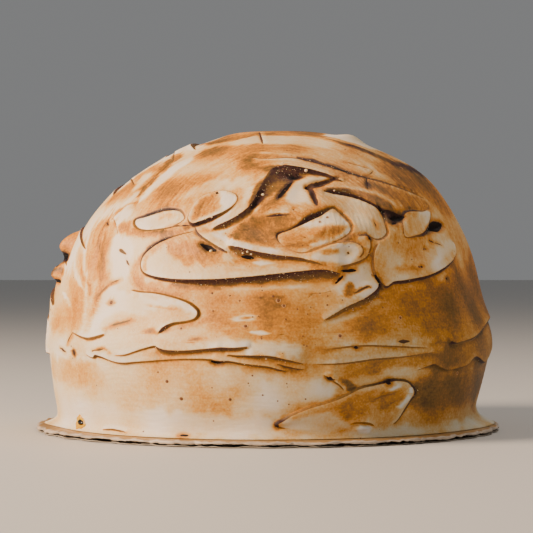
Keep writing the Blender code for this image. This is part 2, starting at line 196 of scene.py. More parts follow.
# What the spatula left. Each point: bearing, down in mm, width of the torn face in mm, how burnt
# it is (0 to 1) and, where it isn't 1, how far the sheet stands up. The raised sheet lies to the
# left of the walk as seen from outside, the torn face to its right.
strokes = {
    "tongue": [(-21, 125, .6, .3, .2), (-26, 127.8, 1, .4, .2), (-29.5, 130.2, 2, 1, .1),
        (-32.5, 133.2, 2.4, 1, .1), (-35.2, 138, 2, .9, .1), (-35.6, 142.5, 1.2, .5, .3),
        (-34.4, 146.5, 1.2, .6, .6), (-31.5, 149, 1.2, .85, 1), (-27, 150.6, 1.6, .95, 1),
        (-22, 151.3, 2.2, .9, 1), (-14, 151, 4, .95, 1), (-5, 149.5, 4.8, .95, 1), (2, 147.8, 5, .95, 1),
        (9, 146.3, 6, .92, 1), (14, 146.2, 6, .88, 1), (17, 148, 4, .8, 1), (18.5, 149, 1, .6, 1)],
    "eye crease": [(-22, 122, 1.4, .9), (-20, 126.6, 1.5, .8), (-16, 131.6, 1.2, .5), (-13, 134.8, 1.6, .8),
        (-10.5, 137.6, 1.8, 1)],
    "shelf": [(-11.5, 134, 2.5, .7), (-8, 134.5, 6, .85), (-3, 137, 3.8, .85), (2, 138.8, 3, .8),
        (8, 140.7, 1.6, .7), (14, 145, .5, .4)],
    "wave": [(-17, 125, 1.4, .4), (-15.2, 122.2, 3.4, .8), (-11.8, 118, 4.2, .82), (-8.6, 112.4, 3.8, .85),
        (-6.7, 106.5, 3, .7), (-6, 100, 4, .6), (-4.8, 92, 6.5, .55), (-3, 85.5, 8.5, .65),
        (1, 82.3, 8, .9), (6, 82.6, 5.6, 1), (11.5, 84.2, 3.2, .95), (17, 86.6, 2.2, .9), (20, 89, 1.5, .8),
        (24, 92.5, 1, .6)],
    "facet": [(26.5, 126, .6, .3), (28.5, 128.7, 1.3, .42), (31, 129.2, 1.5, .42), (33.6, 126, 1.3, .34),
        (33.8, 120, 1.3, .36), (34.2, 114, 2, .8), (32, 109.5, 1.2, .95), (28, 105, 1.5, 1),
        (24, 102, 2.6, 1), (19, 100.5, 2.4, .95), (15, 99.5, 1.2, .8)],
    "wedge": [(6, 115.3, .5, .6), (4, 115.3, .8, .7), (1.2, 115.6, 2.2, 1), (-3, 116, .6, .4)],
    "high crease": [(60, 103.5, 1.4, .4), (54, 99.5, 2, .55), (47, 95.5, 2.4, .65), (40, 91.5, 2.8, .75),
        (34, 88.4, 2.8, .8), (30, 86.5, 3, .9), (25, 83.4, 3, .95), (20, 80.6, 3, .95), (15, 78.2, 2.8, .9),
        (10, 76.3, 2.6, .85), (3.5, 75.3, 2, .5), (-6, 76.8, 1.5, .35), (-18, 72, .7, .3)],
    "fine crease": [(39, 80.3, .5, .4), (34, 77.5, .6, .5), (28, 74, .5, .4)],
    "crown crack": [(-42, 25.5, .5, .4), (-30, 31, .9, .8), (-22, 38.5, .9, .85), (-16, 47.5, .9, .85),
        (-12, 57, .6, .6)],
    "crown edge": [(68, 82, .9, .6), (60, 73, 1.6, .75), (53, 66, 2.4, .85), (44, 58, 2.6, .85),
        (34.5, 51.5, 2.2, .75), (24, 43, 1.6, .7), (10, 35, 1.4, .65), (-10, 29, 1.4, .6),
        (-32, 30, 1.4, .6), (-48, 38, 1.4, .6), (-55, 46, 1.3, .5), (-60, 58, .8, .3)],
    "shoulder": [(-80, 61, 1.5, .45), (-72, 63, 3, .55), (-65, 66, 4, .6), (-60, 69, 4.5, .65),
        (-56, 74, 4.5, .65), (-54, 80, 4, .65), (-53, 88, 3.5, .7), (-52.5, 96, 2.5, .7),
        (-52.5, 101, 1, .5)],
    "shoulder hook": [(-49.5, 106.5, .8, .5), (-52, 109.5, 1.2, .7), (-55, 114, 1.4, .85),
        (-56, 116.5, 1, .9)],
    "shoulder line": [(-80, 87, .8, .5), (-72, 88.5, 1, .7), (-66, 91, 1, .7), (-62, 93, .8, .6)],
    "shoulder fork": [(-55, 117, .8, .5), (-51, 121, 1, .55), (-48, 127, .6, .4)],
    "low tongue": [(-27, 179.5, .9, .7), (-26.6, 177.6, 2.2, .85), (-25.2, 175, 1.8, .8),
        (-23, 173.2, 1.4, .6), (-20, 172.3, 1.1, .36), (-17.9, 171, 1, .34), (-17.2, 168.8, 1.4, .6),
        (-17.7, 166.5, 1.5, .6), (-19.5, 164, 1.5, .55), (-22, 162, 1.4, .46), (-26, 159.9, 1.3, .4),
        (-30, 158.5, 1.1, .36), (-34.5, 157.9, 1.2, .4), (-38, 156.3, .8, .3)],
    "left lip": [(-57.5, 179, 1.1, .36), (-54, 180.2, 1.4, .38), (-50, 181.6, 1.8, .42),
        (-47, 181.4, 1.7, .4), (-42.5, 179.3, 1.3, .38)],
    "waist crest": [(-40, 190, .5, .2), (-36, 189.4, .7, .3), (-32, 187, .8, .4), (-28, 184.8, 1.2, .6),
        (-26.5, 185, 3.4, .85), (-24.5, 186, 4.4, .8), (-20, 186.4, 3.2, .68), (-15, 185.6, 2.8, .72),
        (-11, 184.8, 2.8, .82), (-8, 184.9, 2.6, .74), (-4, 184.6, 1.2, .45)],
    "waist lens": [(-10, 188.6, .8, .5), (-6, 188.4, 2.2, .68), (0, 188.5, 2.8, .74), (3, 189.8, 2.2, .7),
        (6, 191.5, 1.4, .62), (9, 193.5, .6, .4)],
    "waist": [(-50.5, 190.2, .8, .5), (-47.5, 191.6, 1, .5), (-46, 190, 1.8, .85), (-43.5, 190.8, 1.8, .82),
        (-40, 192.8, 1.7, .5), (-37, 193.4, 1.7, .5), (-33, 192.8, 1.3, .4), (-28, 192.1, 1, .34),
        (-20, 191, 1, .34), (-14, 190.7, 1.4, .5), (-12, 191.2, 3, .95), (-9, 191.4, 2, .7),
        (-5, 192.8, 2, .62), (0, 194, 2.2, .68), (3, 196, 1.6, .75), (5, 197.4, .5, .4)],
    "waist branch": [(1.5, 192.6, .7, .5), (5, 194.3, 1.8, .72), (7, 195.3, 1.6, .72), (9, 196.3, .5, .4)],
    "waist end": [(12.6, 198.2, .5, .3), (13.7, 199.3, 1, .6), (15.3, 200.6, 1.6, 1),
        (16.5, 200.8, .8, .8)],
    "right hairline": [(12, 186.5, .5, .25), (22, 184.5, .8, .35), (30, 185, .8, .35),
        (42, 186.5, .5, .25)],
    "right flame": [(9, 193.5, .5, .2), (18, 193, .9, .4), (26, 191.2, 1.1, .45), (34, 190.4, .8, .35),
        (44, 188.5, .6, .3)],
    "right skirt": [(38, 198, .6, .3), (41, 196, 1, .5), (43.5, 194.5, 1.6, .75), (46, 196, 1.2, .5),
        (49, 198, 1.2, .5), (53, 197.5, 1.2, .55), (58, 196, 1.4, .65), (62.5, 192, 1.6, .85),
        (73, 196, 1.6, .85), (84, 190, 1.4, .8), (96, 193, .8, .6)],
    "right shelf": [(48.5, 183, 1.6, .9), (49.5, 183.6, 2.6, 1), (51.5, 184.5, 1.2, .7), (54, 184, 1, .5),
        (58, 183, 1.2, .55), (61, 182, 1.4, .8), (70, 178, 1.6, .85), (80, 174, 2.2, .9), (98, 172, 1, .7)],
    "curl": [(13, 172, .8, .3), (15.5, 169, 2, .5), (18.3, 165.7, 2.8, .6), (21, 163.2, 3.6, .68),
        (23.8, 160.8, 4.2, .75), (26.2, 158, 4.6, .85), (27.8, 155.2, 4, .95), (28.1, 152.3, 2.8, 1),
        (27.3, 149, 1.2, .8)],
    "curl hook": [(21, 158.6, 1.2, .6), (23, 156.4, 1.4, .7), (25, 154.8, 1.4, .75), (26.5, 155.8, .8, .6)],
    "small lobe": [(22.5, 141.5, .8, .3), (24.2, 138, 1.3, .36), (24.2, 135, 1.5, .38),
        (22.5, 132.8, 1.4, .36), (20, 132.5, 1.3, .36), (15, 134.2, 1.4, .4), (9, 137.5, 1.2, .38)],
    "lobe rim": [(17, 145.3, .8, .3), (22.5, 142.5, 1.4, .38), (25.5, 139.5, 1.5, .36),
        (26.9, 135, 1.5, .36), (27.2, 131.5, 1.4, .5), (26.8, 129, 2, .9), (23, 128.5, .8, .4)],
    "right lobe": [(30.5, 131, .8, .3), (28.5, 136, 1.1, .34), (27.5, 143, 1.3, .38), (28, 149, 1.5, .5),
        (30.5, 154.5, 1.2, .8), (33, 152.4, 1.5, .9), (36, 151.8, 1.8, .95), (40, 150.8, 1.8, .95),
        (45, 149.3, 1.8, .95), (50, 146.7, 1.7, .95), (55, 143.5, 1.6, .9), (60, 140, 1.4, .8),
        (64, 136, 1, .6), (66, 130, .6, .4)],
    "low facet": [(14.5, 200.5, .8, .7), (17, 203.6, .8, .5), (18.2, 206.3, .8, .5), (17.8, 208.3, .7, .4)],
    "foot mark": [(-48, 229.5, .5, .4), (-44, 228.7, .8, .55), (-41, 229, .8, .55), (-38, 230, .5, .4)],
    "foot knob": [(20, 224.5, .5, .25), (22, 223, 1.6, .32), (25, 223, 2.0, .36), (27, 225, 1.4, .3),
        (27.6, 227.5, .5, .2)],
}

# Strokes that close on themselves: the pools and leaves that one turn of the spatula leaves.
pools = {
    "little pool": [(-44, 117.5, 1, .8), (-41, 115.8, 1.5, 1), (-38, 114, 1.6, 1), (-35, 112.5, 1.6, 1),
        (-33, 112.2, 1.5, 1), (-31, 112.3, 1.2, .95), (-28.5, 113.5, 1.1, .5), (-26.5, 116.8, 1, .35),
        (-26.8, 119, 1, .32), (-28.6, 121.4, 1.2, .36), (-31, 122.8, 1.5, .5), (-35, 123.6, 1.6, .46),
        (-38, 123.8, 1.6, .44), (-41, 122.8, 1.5, .42), (-43.5, 120.3, 1.2, .4)],
    "big pool": [(-22.5, 121.3, 1.8, .95), (-20, 119.8, 2.0, 1), (-17.2, 117.6, 1.8, .9),
        (-14.6, 114.5, 1.0, .5), (-12.6, 110.5, .5, .3), (-11.8, 106, .4, .26), (-12.8, 102.6, .6, .3),
        (-15, 101, 1.1, .38), (-17.5, 100, .9, .5), (-20, 101, .8, .4), (-23.5, 104.5, .8, .35),
        (-24.5, 109, .7, .2), (-24.8, 114, .6, .25), (-24.5, 118.5, .7, .45)],
    "leaf": [(8, 137.5, 1, .3), (14.5, 133.5, 1.4, .4), (20.5, 128, 1.5, .36), (22.5, 122.5, 1.4, .36),
        (21.3, 117, 1.9, .5), (19, 112.2, 1.6, .5), (17.8, 111.2, 1.4, .5), (16, 113, 1.9, .7),
        (14, 115.6, 3.2, 1), (11, 118.3, 3.2, 1), (8, 121.3, 1.8, .95), (5, 124, .8, .7),
        (1.8, 126.8, 1.4, .9), (3, 133, .4, .2)],
    "side facet": [(40, 128, .4, .3), (45, 127, 1, .55), (48, 125.5, 2, .85), (51, 122.5, 3.5, 1),
        (54, 118.5, 4, 1), (57, 113.5, 2, .9), (58.2, 110, .6, .3), (53, 112, 1, .4), (48.5, 112.5, 2, .9),
        (44, 113.6, 1.8, .9), (41.6, 116.5, 1.4, .9), (40.5, 121, .6, .4)],
    "low leaf": [(2.5, 224.3, 1.8, 1, 1), (4.5, 226, .3, .2, 0), (12, 227.5, .2, 0, 0), (24, 228, .2, 0, 0),
        (32, 226, .2, 0, 0), (34.8, 223.5, 1.1, .55, .3), (36.8, 217.5, 1.9, .75, .3),
        (38.3, 212.5, 2.3, .85, .3), (39, 209.5, 2.6, 1, .3), (37.6, 206.2, 1.8, .85, .6),
        (35.5, 203.8, 1.4, .7, 1), (32.5, 202.9, 1.2, .7, 1), (30.5, 203.3, 1.8, 1, 1),
        (29, 203.8, 1.2, .9, 1), (26, 204.8, .9, .6, 1), (22, 206.3, 1.2, .45, 1), (18, 210.2, 1.5, .45, 1),
        (14, 213.2, 1.3, .32, 1), (10, 215.7, 1.3, .32, 1), (6, 219.3, 1.3, .4, 1), (4, 222, 1.4, .8, 1)],
}

# How far a stroke's sheet stands up: 1 unless it is here. 0 is a plain groove, and a stroke below 0
# has its sheet lower than what lies beyond the torn face.
lift = {
    "facet": -0.6, "leaf": -0.5, "little pool": -0.5, "wedge": 0.0, "eye crease": 0.5,
    "high crease": 0.12, "fine crease": 0.3, "small lobe": 0.6, "lobe rim": 0.5, "side facet": 0.4,
    "shoulder": 0.5, "wave": 0.6, "curl": 0.6, "right lobe": 0.8, "shoulder line": 0.5,
    "curl hook": 0.0, "right hairline": 0.15, "right flame": 0.25, "low facet": 0.8,
    "crown edge": 0.8, "crown crack": 0.1,
}

# Short dark marks and cracks: bearing, down, bearing, down, width, burn. They raise no sheet.
marks = [
    (-86, 139, -80, 139.8, 2.4, 1), (-80, 152.4, -75, 153.2, 2.2, 1), (-80, 142.5, -78.5, 145, 1.6, .9),
    (-18.8, 132.4, -14.4, 136.0, 3.2, 1), (-7.5, 139, -4.2, 140, 2.0, 1), (1, 104, 4.8, 93.5, 2.6, 1),
    (4.5, 90, 7.2, 88.3, 1.6, 1), (30.2, 119.2, 30.6, 122.6, 1.0, .8), (34.3, 86.5, 32, 97.5, .9, .85),
    (34, 87.5, 40, 81.5, .6, .5), (-57.8, 119.4, -55.8, 121, 1.3, .7), (-57.5, 124, -55, 135, .7, .5),
    (18.4, 147, 22.2, 146.7, 1.8, 1), (18.8, 149.3, 16.8, 153, 1.8, 1), (50.8, 129.3, 53.2, 131, 1.1, .8),
    (53.4, 130.8, 56.2, 132.4, .8, .6), (-44.7, 135.3, -42, 137.6, 1.5, .5),
    (-41.2, 141, -40, 143.2, 1.0, .6), (-65.6, 188.3, -61.2, 190.2, 1.3, .7),
    (-56.3, 189, -55.8, 192, 1.4, .85), (-47, 188.3, -43, 187.2, .9, .55),
    (32.4, 183, 35.4, 183, 1.8, .6), (20.6, 185.3, 21.6, 185.7, 2.0, .85),
    (-22.4, 230.2, -20.2, 230.2, 1.3, 1), (52.6, 151, 53.3, 151.2, 1.5, .95),
    # In this line and the next, the wide marks at bearings 36 to 64 fill the pockets beside the side facet:
    # their black is painted shade of those hollows.
    (-19.4, 101.6, -18.6, 101.8, 1.7, 1), (37.2, 116.8, 42, 116.2, 3.8, 1),
    (36.4, 120.8, 39, 119, 1.8, .9), (55, 121, 63.5, 119, 6.2, 1), (50.5, 123.6, 57, 120.8, 3.0, 1),
    (10, 97, 18, 91.8, 4.4, .62), (13.6, 94.8, 16, 93, 3.0, .95), (9.7, 96.2, 10.4, 98.4, 2.6, 1),
    (17, 92, 22, 89, 2.2, .5), (11.4, 98, 12.8, 109, 3.0, .7), (12.2, 101, 12.6, 107.5, 2.0, .95),
    (26.8, 129.4, 27.4, 130.4, 1.6, 1), (27.8, 149.4, 29.2, 155, 2.2, 1),
    (33.4, 109.5, 34.4, 112.5, 1.8, .95), (34, 112.2, 41.5, 115, 1.8, .85),
    (8.5, 128.5, 9.6, 129.5, .8, .5), (5.6, 112, 6, 112.4, 1.3, .7), (20.2, 137.6, 20.8, 138, 1.4, .45),
    (43, 144.8, 43.6, 144.8, 1.4, .8), (48, 133.8, 48.5, 134.2, 1.2, .8),
    (-60, 185.5, -57, 179.5, .7, .5), (-13.2, 192.4, -11, 192.8, 2.6, 1),
    (-31, 122.9, -23, 121.8, .9, .75), (-33, 125.6, -30, 125.0, .6, .4), (14, 200, 15.2, 200.8, 2.0, .9),
    (2, 225, 2.6, 224.4, 1.8, 1), (26, 212.5, 33.5, 209, 1.0, .3), (30, 216.5, 35.5, 212.5, .8, .3),
    (29.4, 203.4, 30.8, 204.2, 1.8, .95), (-41.5, 150.5, -46, 153, .9, .5),
    (-46, 153, -49.5, 160, .8, .4), (-42, 175, -36, 172, 1.4, .45),
]

print("strokes:", len(strokes) + len(pools), "marks:", len(marks))

# Rows of hooked strokes laid one after another round the sides, the back and the crown.
sideRows = [
    # down in mm, first and last bearing, how many strokes, their length and hook in mm
    (58, 128, 292, 3, 62, 13),
    (88, 92, 278, 4, 74, 16),
    (122, 100, 290, 5, 78, 17),
    (154, 100, 284, 5, 70, 14),
]
sideWaist = [(98, 193), (118, 189), (142, 194), (165, 190), (188, 195), (212, 190), (236, 193),
             (262, 189), (283, 192)]
sideLeaf = [(176, 226), (192, 223), (206, 214), (203, 205), (190, 207), (180, 216)]
sidePools = [
    # bearing, down, half length, half height, turn
    (150, 112, 15, 6, -12), (228, 104, 13, 5, 10), (188, 74, 14, 6, -8), (262, 142, 12, 6, 14),
    (118, 140, 12, 5, -16),
]


def hookedStroke(bearing, down, length, hook, width, burn):
    # a long stroke that curls round at its end
    perDegree = mmPerDegree(down)
    span = length / perDegree
    bend = hook / perDegree
    shape = [(span, 0.7, 0.4), (0.66 * span, 0.15, 0.8), (0.33 * span, -0.2, 1.0), (0.0, -0.1, 1.0),
             (-0.75 * bend, 0.5, 0.7), (-0.15 * bend, 1.15, 0.5), (0.9 * bend, 1.2, 0.3)]
    return [(bearing + along, down + drop * hook, width * wide, burn * (0.55 + 0.45 * wide))
            for along, drop, wide in shape]


def ringPath(bearing, down, halfLength, halfHeight, turn, width, burn, count=9):
    # a closed oval; its burnt face is thick along the top and faint below
    perDegree = mmPerDegree(down)
    lean = math.radians(turn)
    points = []
    for step in range(count):
        angle = -math.tau * step / count
        along = halfLength * math.cos(angle)
        drop = halfHeight * math.sin(angle)
        across = along * math.cos(lean) - drop * math.sin(lean)
        fall = along * math.sin(lean) + drop * math.cos(lean)
        heavy = 0.5 + 0.5 * math.sin(-angle + 0.6)
        points.append((bearing + across / perDegree, down + fall, width * (0.5 + heavy),
                       burn * (0.5 + 0.5 * heavy)))
    return points


def addSideStrokes():
    for row, (down, first, last, count, length, hook) in enumerate(sideRows):
        for index in range(count):
            share = (index + 0.5) / count
            wander = math.sin(2.4 * index + 1.7 * row)
            bearing = first + share * (last - first) - 14.0 + 5.0 * wander
            size = 1.0 + 0.22 * math.sin(5.1 * index + row)
            width = 2.4 + 1.2 * math.sin(3.3 * index + 2.0 * row)
            burn = 0.84 + 0.16 * math.sin(1.9 * index + 2.6 * row)
            strokes[f"side {row} {index}"] = hookedStroke(bearing, down + 6.0 * wander, length * size,
                                                          hook * size, width, burn)
            # a thin crease follows most strokes a little way below
            crease = hookedStroke(bearing + 9, down + 6.0 * wander + 0.9 * hook, 0.5 * length * size,
                                  0.4 * hook, 0.9, 0.75)
            strokes[f"side crease {row} {index}"] = crease[:4]
    strokes["side waist"] = [(bearing, down, 1.8, 0.85) for bearing, down in sideWaist]
    strokes["side waist crease"] = [(bearing + 9, down - 4.5, 0.9, 0.65)
                                    for bearing, down in sideWaist[:-1]]
    pools["side leaf"] = [(bearing, down, 1.2, 0.8) for bearing, down in sideLeaf]
    for index, oval in enumerate(sidePools):
        pools[f"side pool {index}"] = ringPath(*oval, 1.1, 0.95)


addSideStrokes()

# How far the flame went: (level, softness in mm, outline). Level 0 is cream, 1 is black.
# They are laid in this order, like coats of paint.
toastFields = [
    # crown
    (.16, 3, [(-36, 46), (-28, 40), (-12, 37.5), (5, 38.5), (16, 42), (26, 49), (34, 58), (36, 62),
        (24, 62), (8, 58), (-10, 56.5), (-30, 54), (-38, 54)]),
    (.54, 3, [(-72, 36), (-50, 32), (-32, 32), (-29, 38), (-36, 44), (-46, 51), (-60, 53), (-72, 48)]),
    (.47, 4, [(-48, 58), (-38, 55), (-10, 57), (8, 57), (14, 62), (8, 68), (-8, 69), (-20, 71), (-34, 76),
        (-46, 72)]),
    (.29, 6, [(10, 60), (24, 59), (38, 66), (46, 76), (54, 84), (50, 90), (32, 84), (12, 74)]),
    (.51, 6, [(42, 70), (52, 70), (66, 78), (84, 90), (90, 112), (66, 112), (56, 100), (44, 86)]),
    (.44, 2.5, [(27, 74), (33, 75), (40, 79.5), (37, 80.5), (31, 77.5)]),
    (.52, 3, [(-20, 30), (5, 28), (20, 30), (34, 42), (40, 52), (36, 56), (26, 46), (14, 39), (-4, 35),
        (-20, 36)]),
    (.80, 3.5, [(30, 43), (43, 52), (53, 61.5), (64, 69), (80, 77), (80, 86), (64, 81), (53, 73), (43, 62),
        (32, 49)]),
    (.05, 3, [(36, 28), (36, 37), (42, 42.5), (50, 48.5), (57, 53), (65, 56.5), (80, 57), (95, 52),
        (105, 42), (100, 30), (70, 24), (46, 25)]),
    (.42, 5, [(62, 58), (70, 63), (84, 69), (100, 66), (98, 55), (80, 58)]),
    # upper left
    (.31, 8, [(-50, 70), (-20, 70), (-4, 74), (-7, 90), (-14, 98), (-24, 100), (-28, 110), (-50, 112)]),
    (.41, 6, [(-46, 92), (-40, 86), (-30, 86), (-24, 90), (-31, 97), (-35, 106), (-44, 106)]),
    (.46, 3, [(-26, 71), (-14, 70), (-5, 73), (-12, 77), (-20, 76)]),
    (.46, 2.5, [(-18, 78), (-11, 79.5), (-5.5, 84), (-6, 86.5), (-11, 85), (-16, 82)]),
    (.56, 1.5, [(-15.5, 74), (-11, 75.3), (-12, 77.3), (-16, 76)]),
    (.02, 2, [(-10, 73), (-4, 74.5), (-3, 77), (-8, 77.2), (-11, 75.5)]),
    (.12, 5, [(-30, 100), (-24, 93), (-12, 89), (-7, 91), (-11, 97), (-16, 98.5), (-24, 102), (-31, 107)]),
    (.30, 3, [(-10, 85), (-7, 86), (-6.5, 93), (-9, 92)]),
    (.05, 3, [(-50, 68), (-45, 72), (-45, 88), (-47, 106), (-49.5, 104), (-51, 84)]),
    (.36, 6, [(-72, 76), (-62, 76), (-57, 90), (-57, 104), (-64, 110), (-72, 104)]),
    (.08, 2.5, [(-66, 84), (-60, 84), (-58, 96), (-60, 97), (-63, 89)]),
    (.50, 3, [(-68, 68), (-58, 66), (-53.5, 73), (-51, 86), (-55, 90), (-57, 88), (-62, 79)]),
    (.68, 3, [(-56, 80), (-52.5, 80), (-50.4, 90), (-50.4, 98), (-51.6, 102), (-55, 97), (-56, 88)]),
    (.50, 2, [(-50, 105.2), (-48.5, 107.5), (-53, 111.5), (-56, 117.5), (-58, 116.5), (-55.5, 110.5),
        (-52.5, 106.8)]),
    (.02, 2.5, [(-54, 115), (-50.5, 111), (-47.5, 112), (-47.5, 119), (-50, 121)]),
    (.31, 5, [(-66, 120), (-54, 119), (-50, 126), (-49.5, 140), (-47, 150), (-66, 156)]),
    (.42, 3, [(-53, 128), (-51, 130), (-50, 141), (-47, 151), (-50, 152), (-53, 142)]),
    (.02, 3, [(-49.5, 129), (-45, 127.5), (-40.5, 132), (-39.5, 141), (-40.5, 150), (-44, 150),
        (-47, 142)]),
    (.48, 2.0, [(-49.5, 122), (-46, 118.5), (-43.5, 122), (-38, 125), (-28, 124.5), (-23, 123), (-26, 127),
        (-38, 129), (-46, 126.5)]),
    (.32, 3, [(-34, 108), (-26, 104), (-25, 110), (-26.2, 117), (-28, 112), (-32, 110.5)]),
    (.04, 2, [(-43, 119), (-38, 115), (-31, 113), (-28, 117), (-31, 121), (-38, 123), (-42, 122)]),
    (.20, 1.5, [(-36, 115.5), (-31, 113.6), (-28.6, 115.6), (-31, 116.4), (-35, 117)]),
    (.43, 3, [(-23.5, 106), (-19, 104), (-16, 107), (-15.5, 112), (-19, 117), (-23.5, 118)]),
    (.04, 2, [(-19, 101.3), (-14.8, 101.8), (-12.6, 105), (-12.8, 109), (-14.5, 112.5), (-15.5, 109),
        (-17, 104.5)]),
    (.48, 1.6, [(-24, 111), (-21.5, 111), (-22, 114), (-24, 113.5)]),
    (.04, 2, [(-10.5, 98), (-7.5, 97), (-7.5, 103), (-10.5, 110), (-15, 118), (-20, 122.5), (-17, 117.5),
        (-11.3, 111), (-10, 105)]),
    (.45, 3, [(-94, 126), (-84, 123), (-78, 131), (-78, 138), (-76, 145), (-90, 146), (-94, 138)]),
    (.92, 2, [(-94, 137.8), (-82, 137.4), (-76, 139), (-76, 142), (-84, 142.4), (-94, 142)]),
    (.78, 3, [(-88, 146), (-80, 145), (-74, 147), (-74, 154), (-82, 156), (-88, 154)]),
    # the wave and what it folds over
    (.61, 3, [(-4, 84), (2, 86), (9, 88.5), (6, 92), (2, 97), (-2, 102), (-4.5, 101), (-5, 92)]),
    (.71, 1.6, [(-7.5, 110), (-6.8, 96.5), (-4.4, 89), (-.5, 83), (8, 83.5), (8, 86), (4, 88), (2.5, 92),
        (1, 98.5), (-2.5, 104), (-6.5, 112)]),
    (.48, 2.5, [(-3, 105.5), (1, 99), (4, 97), (4, 106), (1, 110), (-4, 113)]),
    (.12, 1.6, [(3, 104), (5, 96), (8, 90.5), (12, 89), (18, 88.5), (16, 91), (12, 94.5), (9.5, 96.5),
        (9.5, 101), (10.5, 105), (11, 109), (6, 107.5)]),
    (.36, 2, [(3, 111), (9, 109), (13, 108.5), (14, 112), (8, 117), (3, 121)]),
    (.48, 2, [(-6.5, 118), (-3, 115.5), (7, 114.5), (6, 120.5), (2, 124.5), (-6, 124.5)]),
    (.50, 3, [(-11, 127), (-9, 121), (-4, 116.5), (2, 117), (6, 122), (2.5, 127), (1, 134), (-3, 133.5),
        (-8, 131), (-11, 130)]),
    (.62, 1.2, [(-12, 127.5), (-9.5, 131), (-8, 130), (-10.5, 126.5)]),
    (.02, 1.8, [(-15, 125), (-11.5, 120), (-8, 114.5), (-5, 109), (-3.5, 108), (-6, 113), (-9, 119),
        (-12.5, 126), (-11.5, 129.5), (-7, 132.6), (-2, 135.2), (2, 136.6), (2, 137.8), (-4, 136.2),
        (-10, 134), (-13, 131.5), (-17, 127)]),
    # the long tongue
    (.17, 2, [(-33.5, 138), (-30, 132), (-24, 129.5), (-19, 130), (-12, 138), (-2, 141), (12, 143),
        (17, 146), (4, 147), (-14, 150), (-28, 149), (-33, 146)]),
    (.42, 3.5, [(-28.5, 132), (-20, 130.3), (-15, 136), (-12, 140), (-14, 143.5), (-21, 143),
        (-26.5, 139)]),
    (.44, 1.5, [(-20.5, 134.5), (-17, 137.8), (-13.5, 138.8), (-12.5, 137), (-16, 137), (-19, 133.5)]),
    (.36, 1.6, [(-16, 142), (-8, 141), (0, 141.8), (5, 143.5), (-2, 145.4), (-9, 144), (-15, 143.6)]),
    # a painted highlight on the tongue's sheet
    (.02, 1, [(-4.5, 142.3), (0, 142), (2, 143.2), (-1.5, 143.7)]),
    (.30, 1.5, [(-10, 146.3), (-2, 145.6), (8, 144.6), (6, 147), (-8, 148)]),
    (.48, 1.2, [(-37.6, 140), (-36.4, 138.6), (-36.2, 143), (-36.2, 147.5), (-38.4, 149.4), (-39, 147)]),
    (.44, .9, [(-34.4, 138.6), (-33.4, 139.6), (-33.8, 143), (-33, 146.4), (-34, 146.8), (-34.8, 143)]),
    (.30, 2.5, [(-39.5, 150), (-38, 143), (-36.3, 138.5), (-35.6, 146), (-33.5, 150), (-38, 152)]),
    (.32, 2, [(-38, 151.5), (-30, 152.5), (-20, 154), (-13, 157), (-20, 158.3), (-27, 157), (-36, 155.6)]),
    (.50, 1.8, [(-25, 152.8), (-14, 154), (-12, 156), (-18, 156.5), (-24, 155)]),
    (.08, 1.8, [(-10, 156), (0, 154.4), (8, 153.4), (12, 153), (12, 155), (4, 155.6), (-4, 156.4)]),
    (.22, 2, [(10, 153.6), (17, 152.3), (18, 156.5), (14, 157.5), (10, 156.5)]),
    # left of the belly
    (.28, 6, [(-80, 150), (-54, 150), (-52, 165), (-53, 178), (-80, 178)]),
    (.34, 1.8, [(-64, 152.5), (-58, 153), (-55, 157), (-53.2, 165), (-53, 178), (-54.9, 178), (-55.4, 166),
        (-57.8, 158.5), (-63, 155.5)]),
    (.32, 1.8, [(-50.6, 157), (-48.8, 154), (-46, 151.5), (-44.5, 152.5), (-47.4, 156), (-48.6, 164),
        (-49, 178), (-50.5, 178), (-50.5, 165)]),
    (.30, 2, [(-72, 165), (-62, 164), (-57, 167), (-62, 169), (-72, 168)]),
    (.30, 2, [(-72, 172), (-62, 171), (-57, 173.5), (-62, 175), (-72, 175)]),
    (.02, 3, [(-47, 154), (-40, 157), (-33, 160), (-24, 162), (-18.5, 165.5), (-18, 169), (-24, 171),
        (-33, 171), (-40, 168), (-45, 173), (-47.5, 178), (-48, 165)]),
    (.20, 3, [(-41, 169), (-33, 170), (-28, 165.5), (-20, 167), (-18, 170), (-24, 171.5), (-28, 177),
        (-36, 178), (-44, 178)]),
    (.34, 1.0, [(-30.5, 164), (-26, 165), (-21, 166.3), (-21, 167.2), (-26, 166.2), (-30, 165.4)]),
    (.46, 1.4, [(-45.3, 162.5), (-43.8, 161.2), (-42.3, 162.4), (-43, 164.6), (-44.8, 164.4)]),
    (.36, 1.5, [(-44, 177.5), (-41, 174), (-36, 171.5), (-35.2, 173), (-39, 176)]),
    (.50, 1.4, [(-31, 178), (-28.8, 176), (-27.2, 177), (-27.2, 179.8), (-29.5, 179)]),
    (.14, 3, [(-26, 176), (-20, 173.5), (-16, 173), (-12, 177), (-9, 181), (-14, 184.5), (-24, 183)]),
    (.50, 1.2, [(-18.6, 181.5), (-17, 180.2), (-15.9, 181), (-16.5, 182.6), (-18, 182.9)]),
    (.13, 3, [(-58, 183), (-48, 183.5), (-40, 182), (-39, 188), (-46, 186), (-56, 189)]),
    (.34, 1.4, [(-60.5, 187), (-58.5, 182.5), (-56.5, 180.5), (-56, 182), (-58.5, 186.5)]),
    (.40, 1.2, [(-47.5, 187.8), (-45, 186.5), (-42.5, 186.3), (-40.3, 189), (-41, 189.8), (-43, 187.6),
        (-46, 188.3)]),
    (.58, 1.6, [(-57, 189), (-55.6, 188.6), (-55, 190.5), (-55.8, 192.6), (-56.8, 191.5)]),
    (.03, 2, [(-54.5, 190.5), (-50, 191.5), (-48, 193), (-53, 194), (-56, 193.5)]),
    # belly
    (.36, 3, [(-15, 158.5), (-4, 157.6), (8, 157), (16, 158.5), (17.5, 162), (13, 168), (13.5, 173),
        (11, 178), (9, 182.5), (-6, 181.5), (-10, 178), (-9, 175), (-14, 172), (-15.5, 166)]),
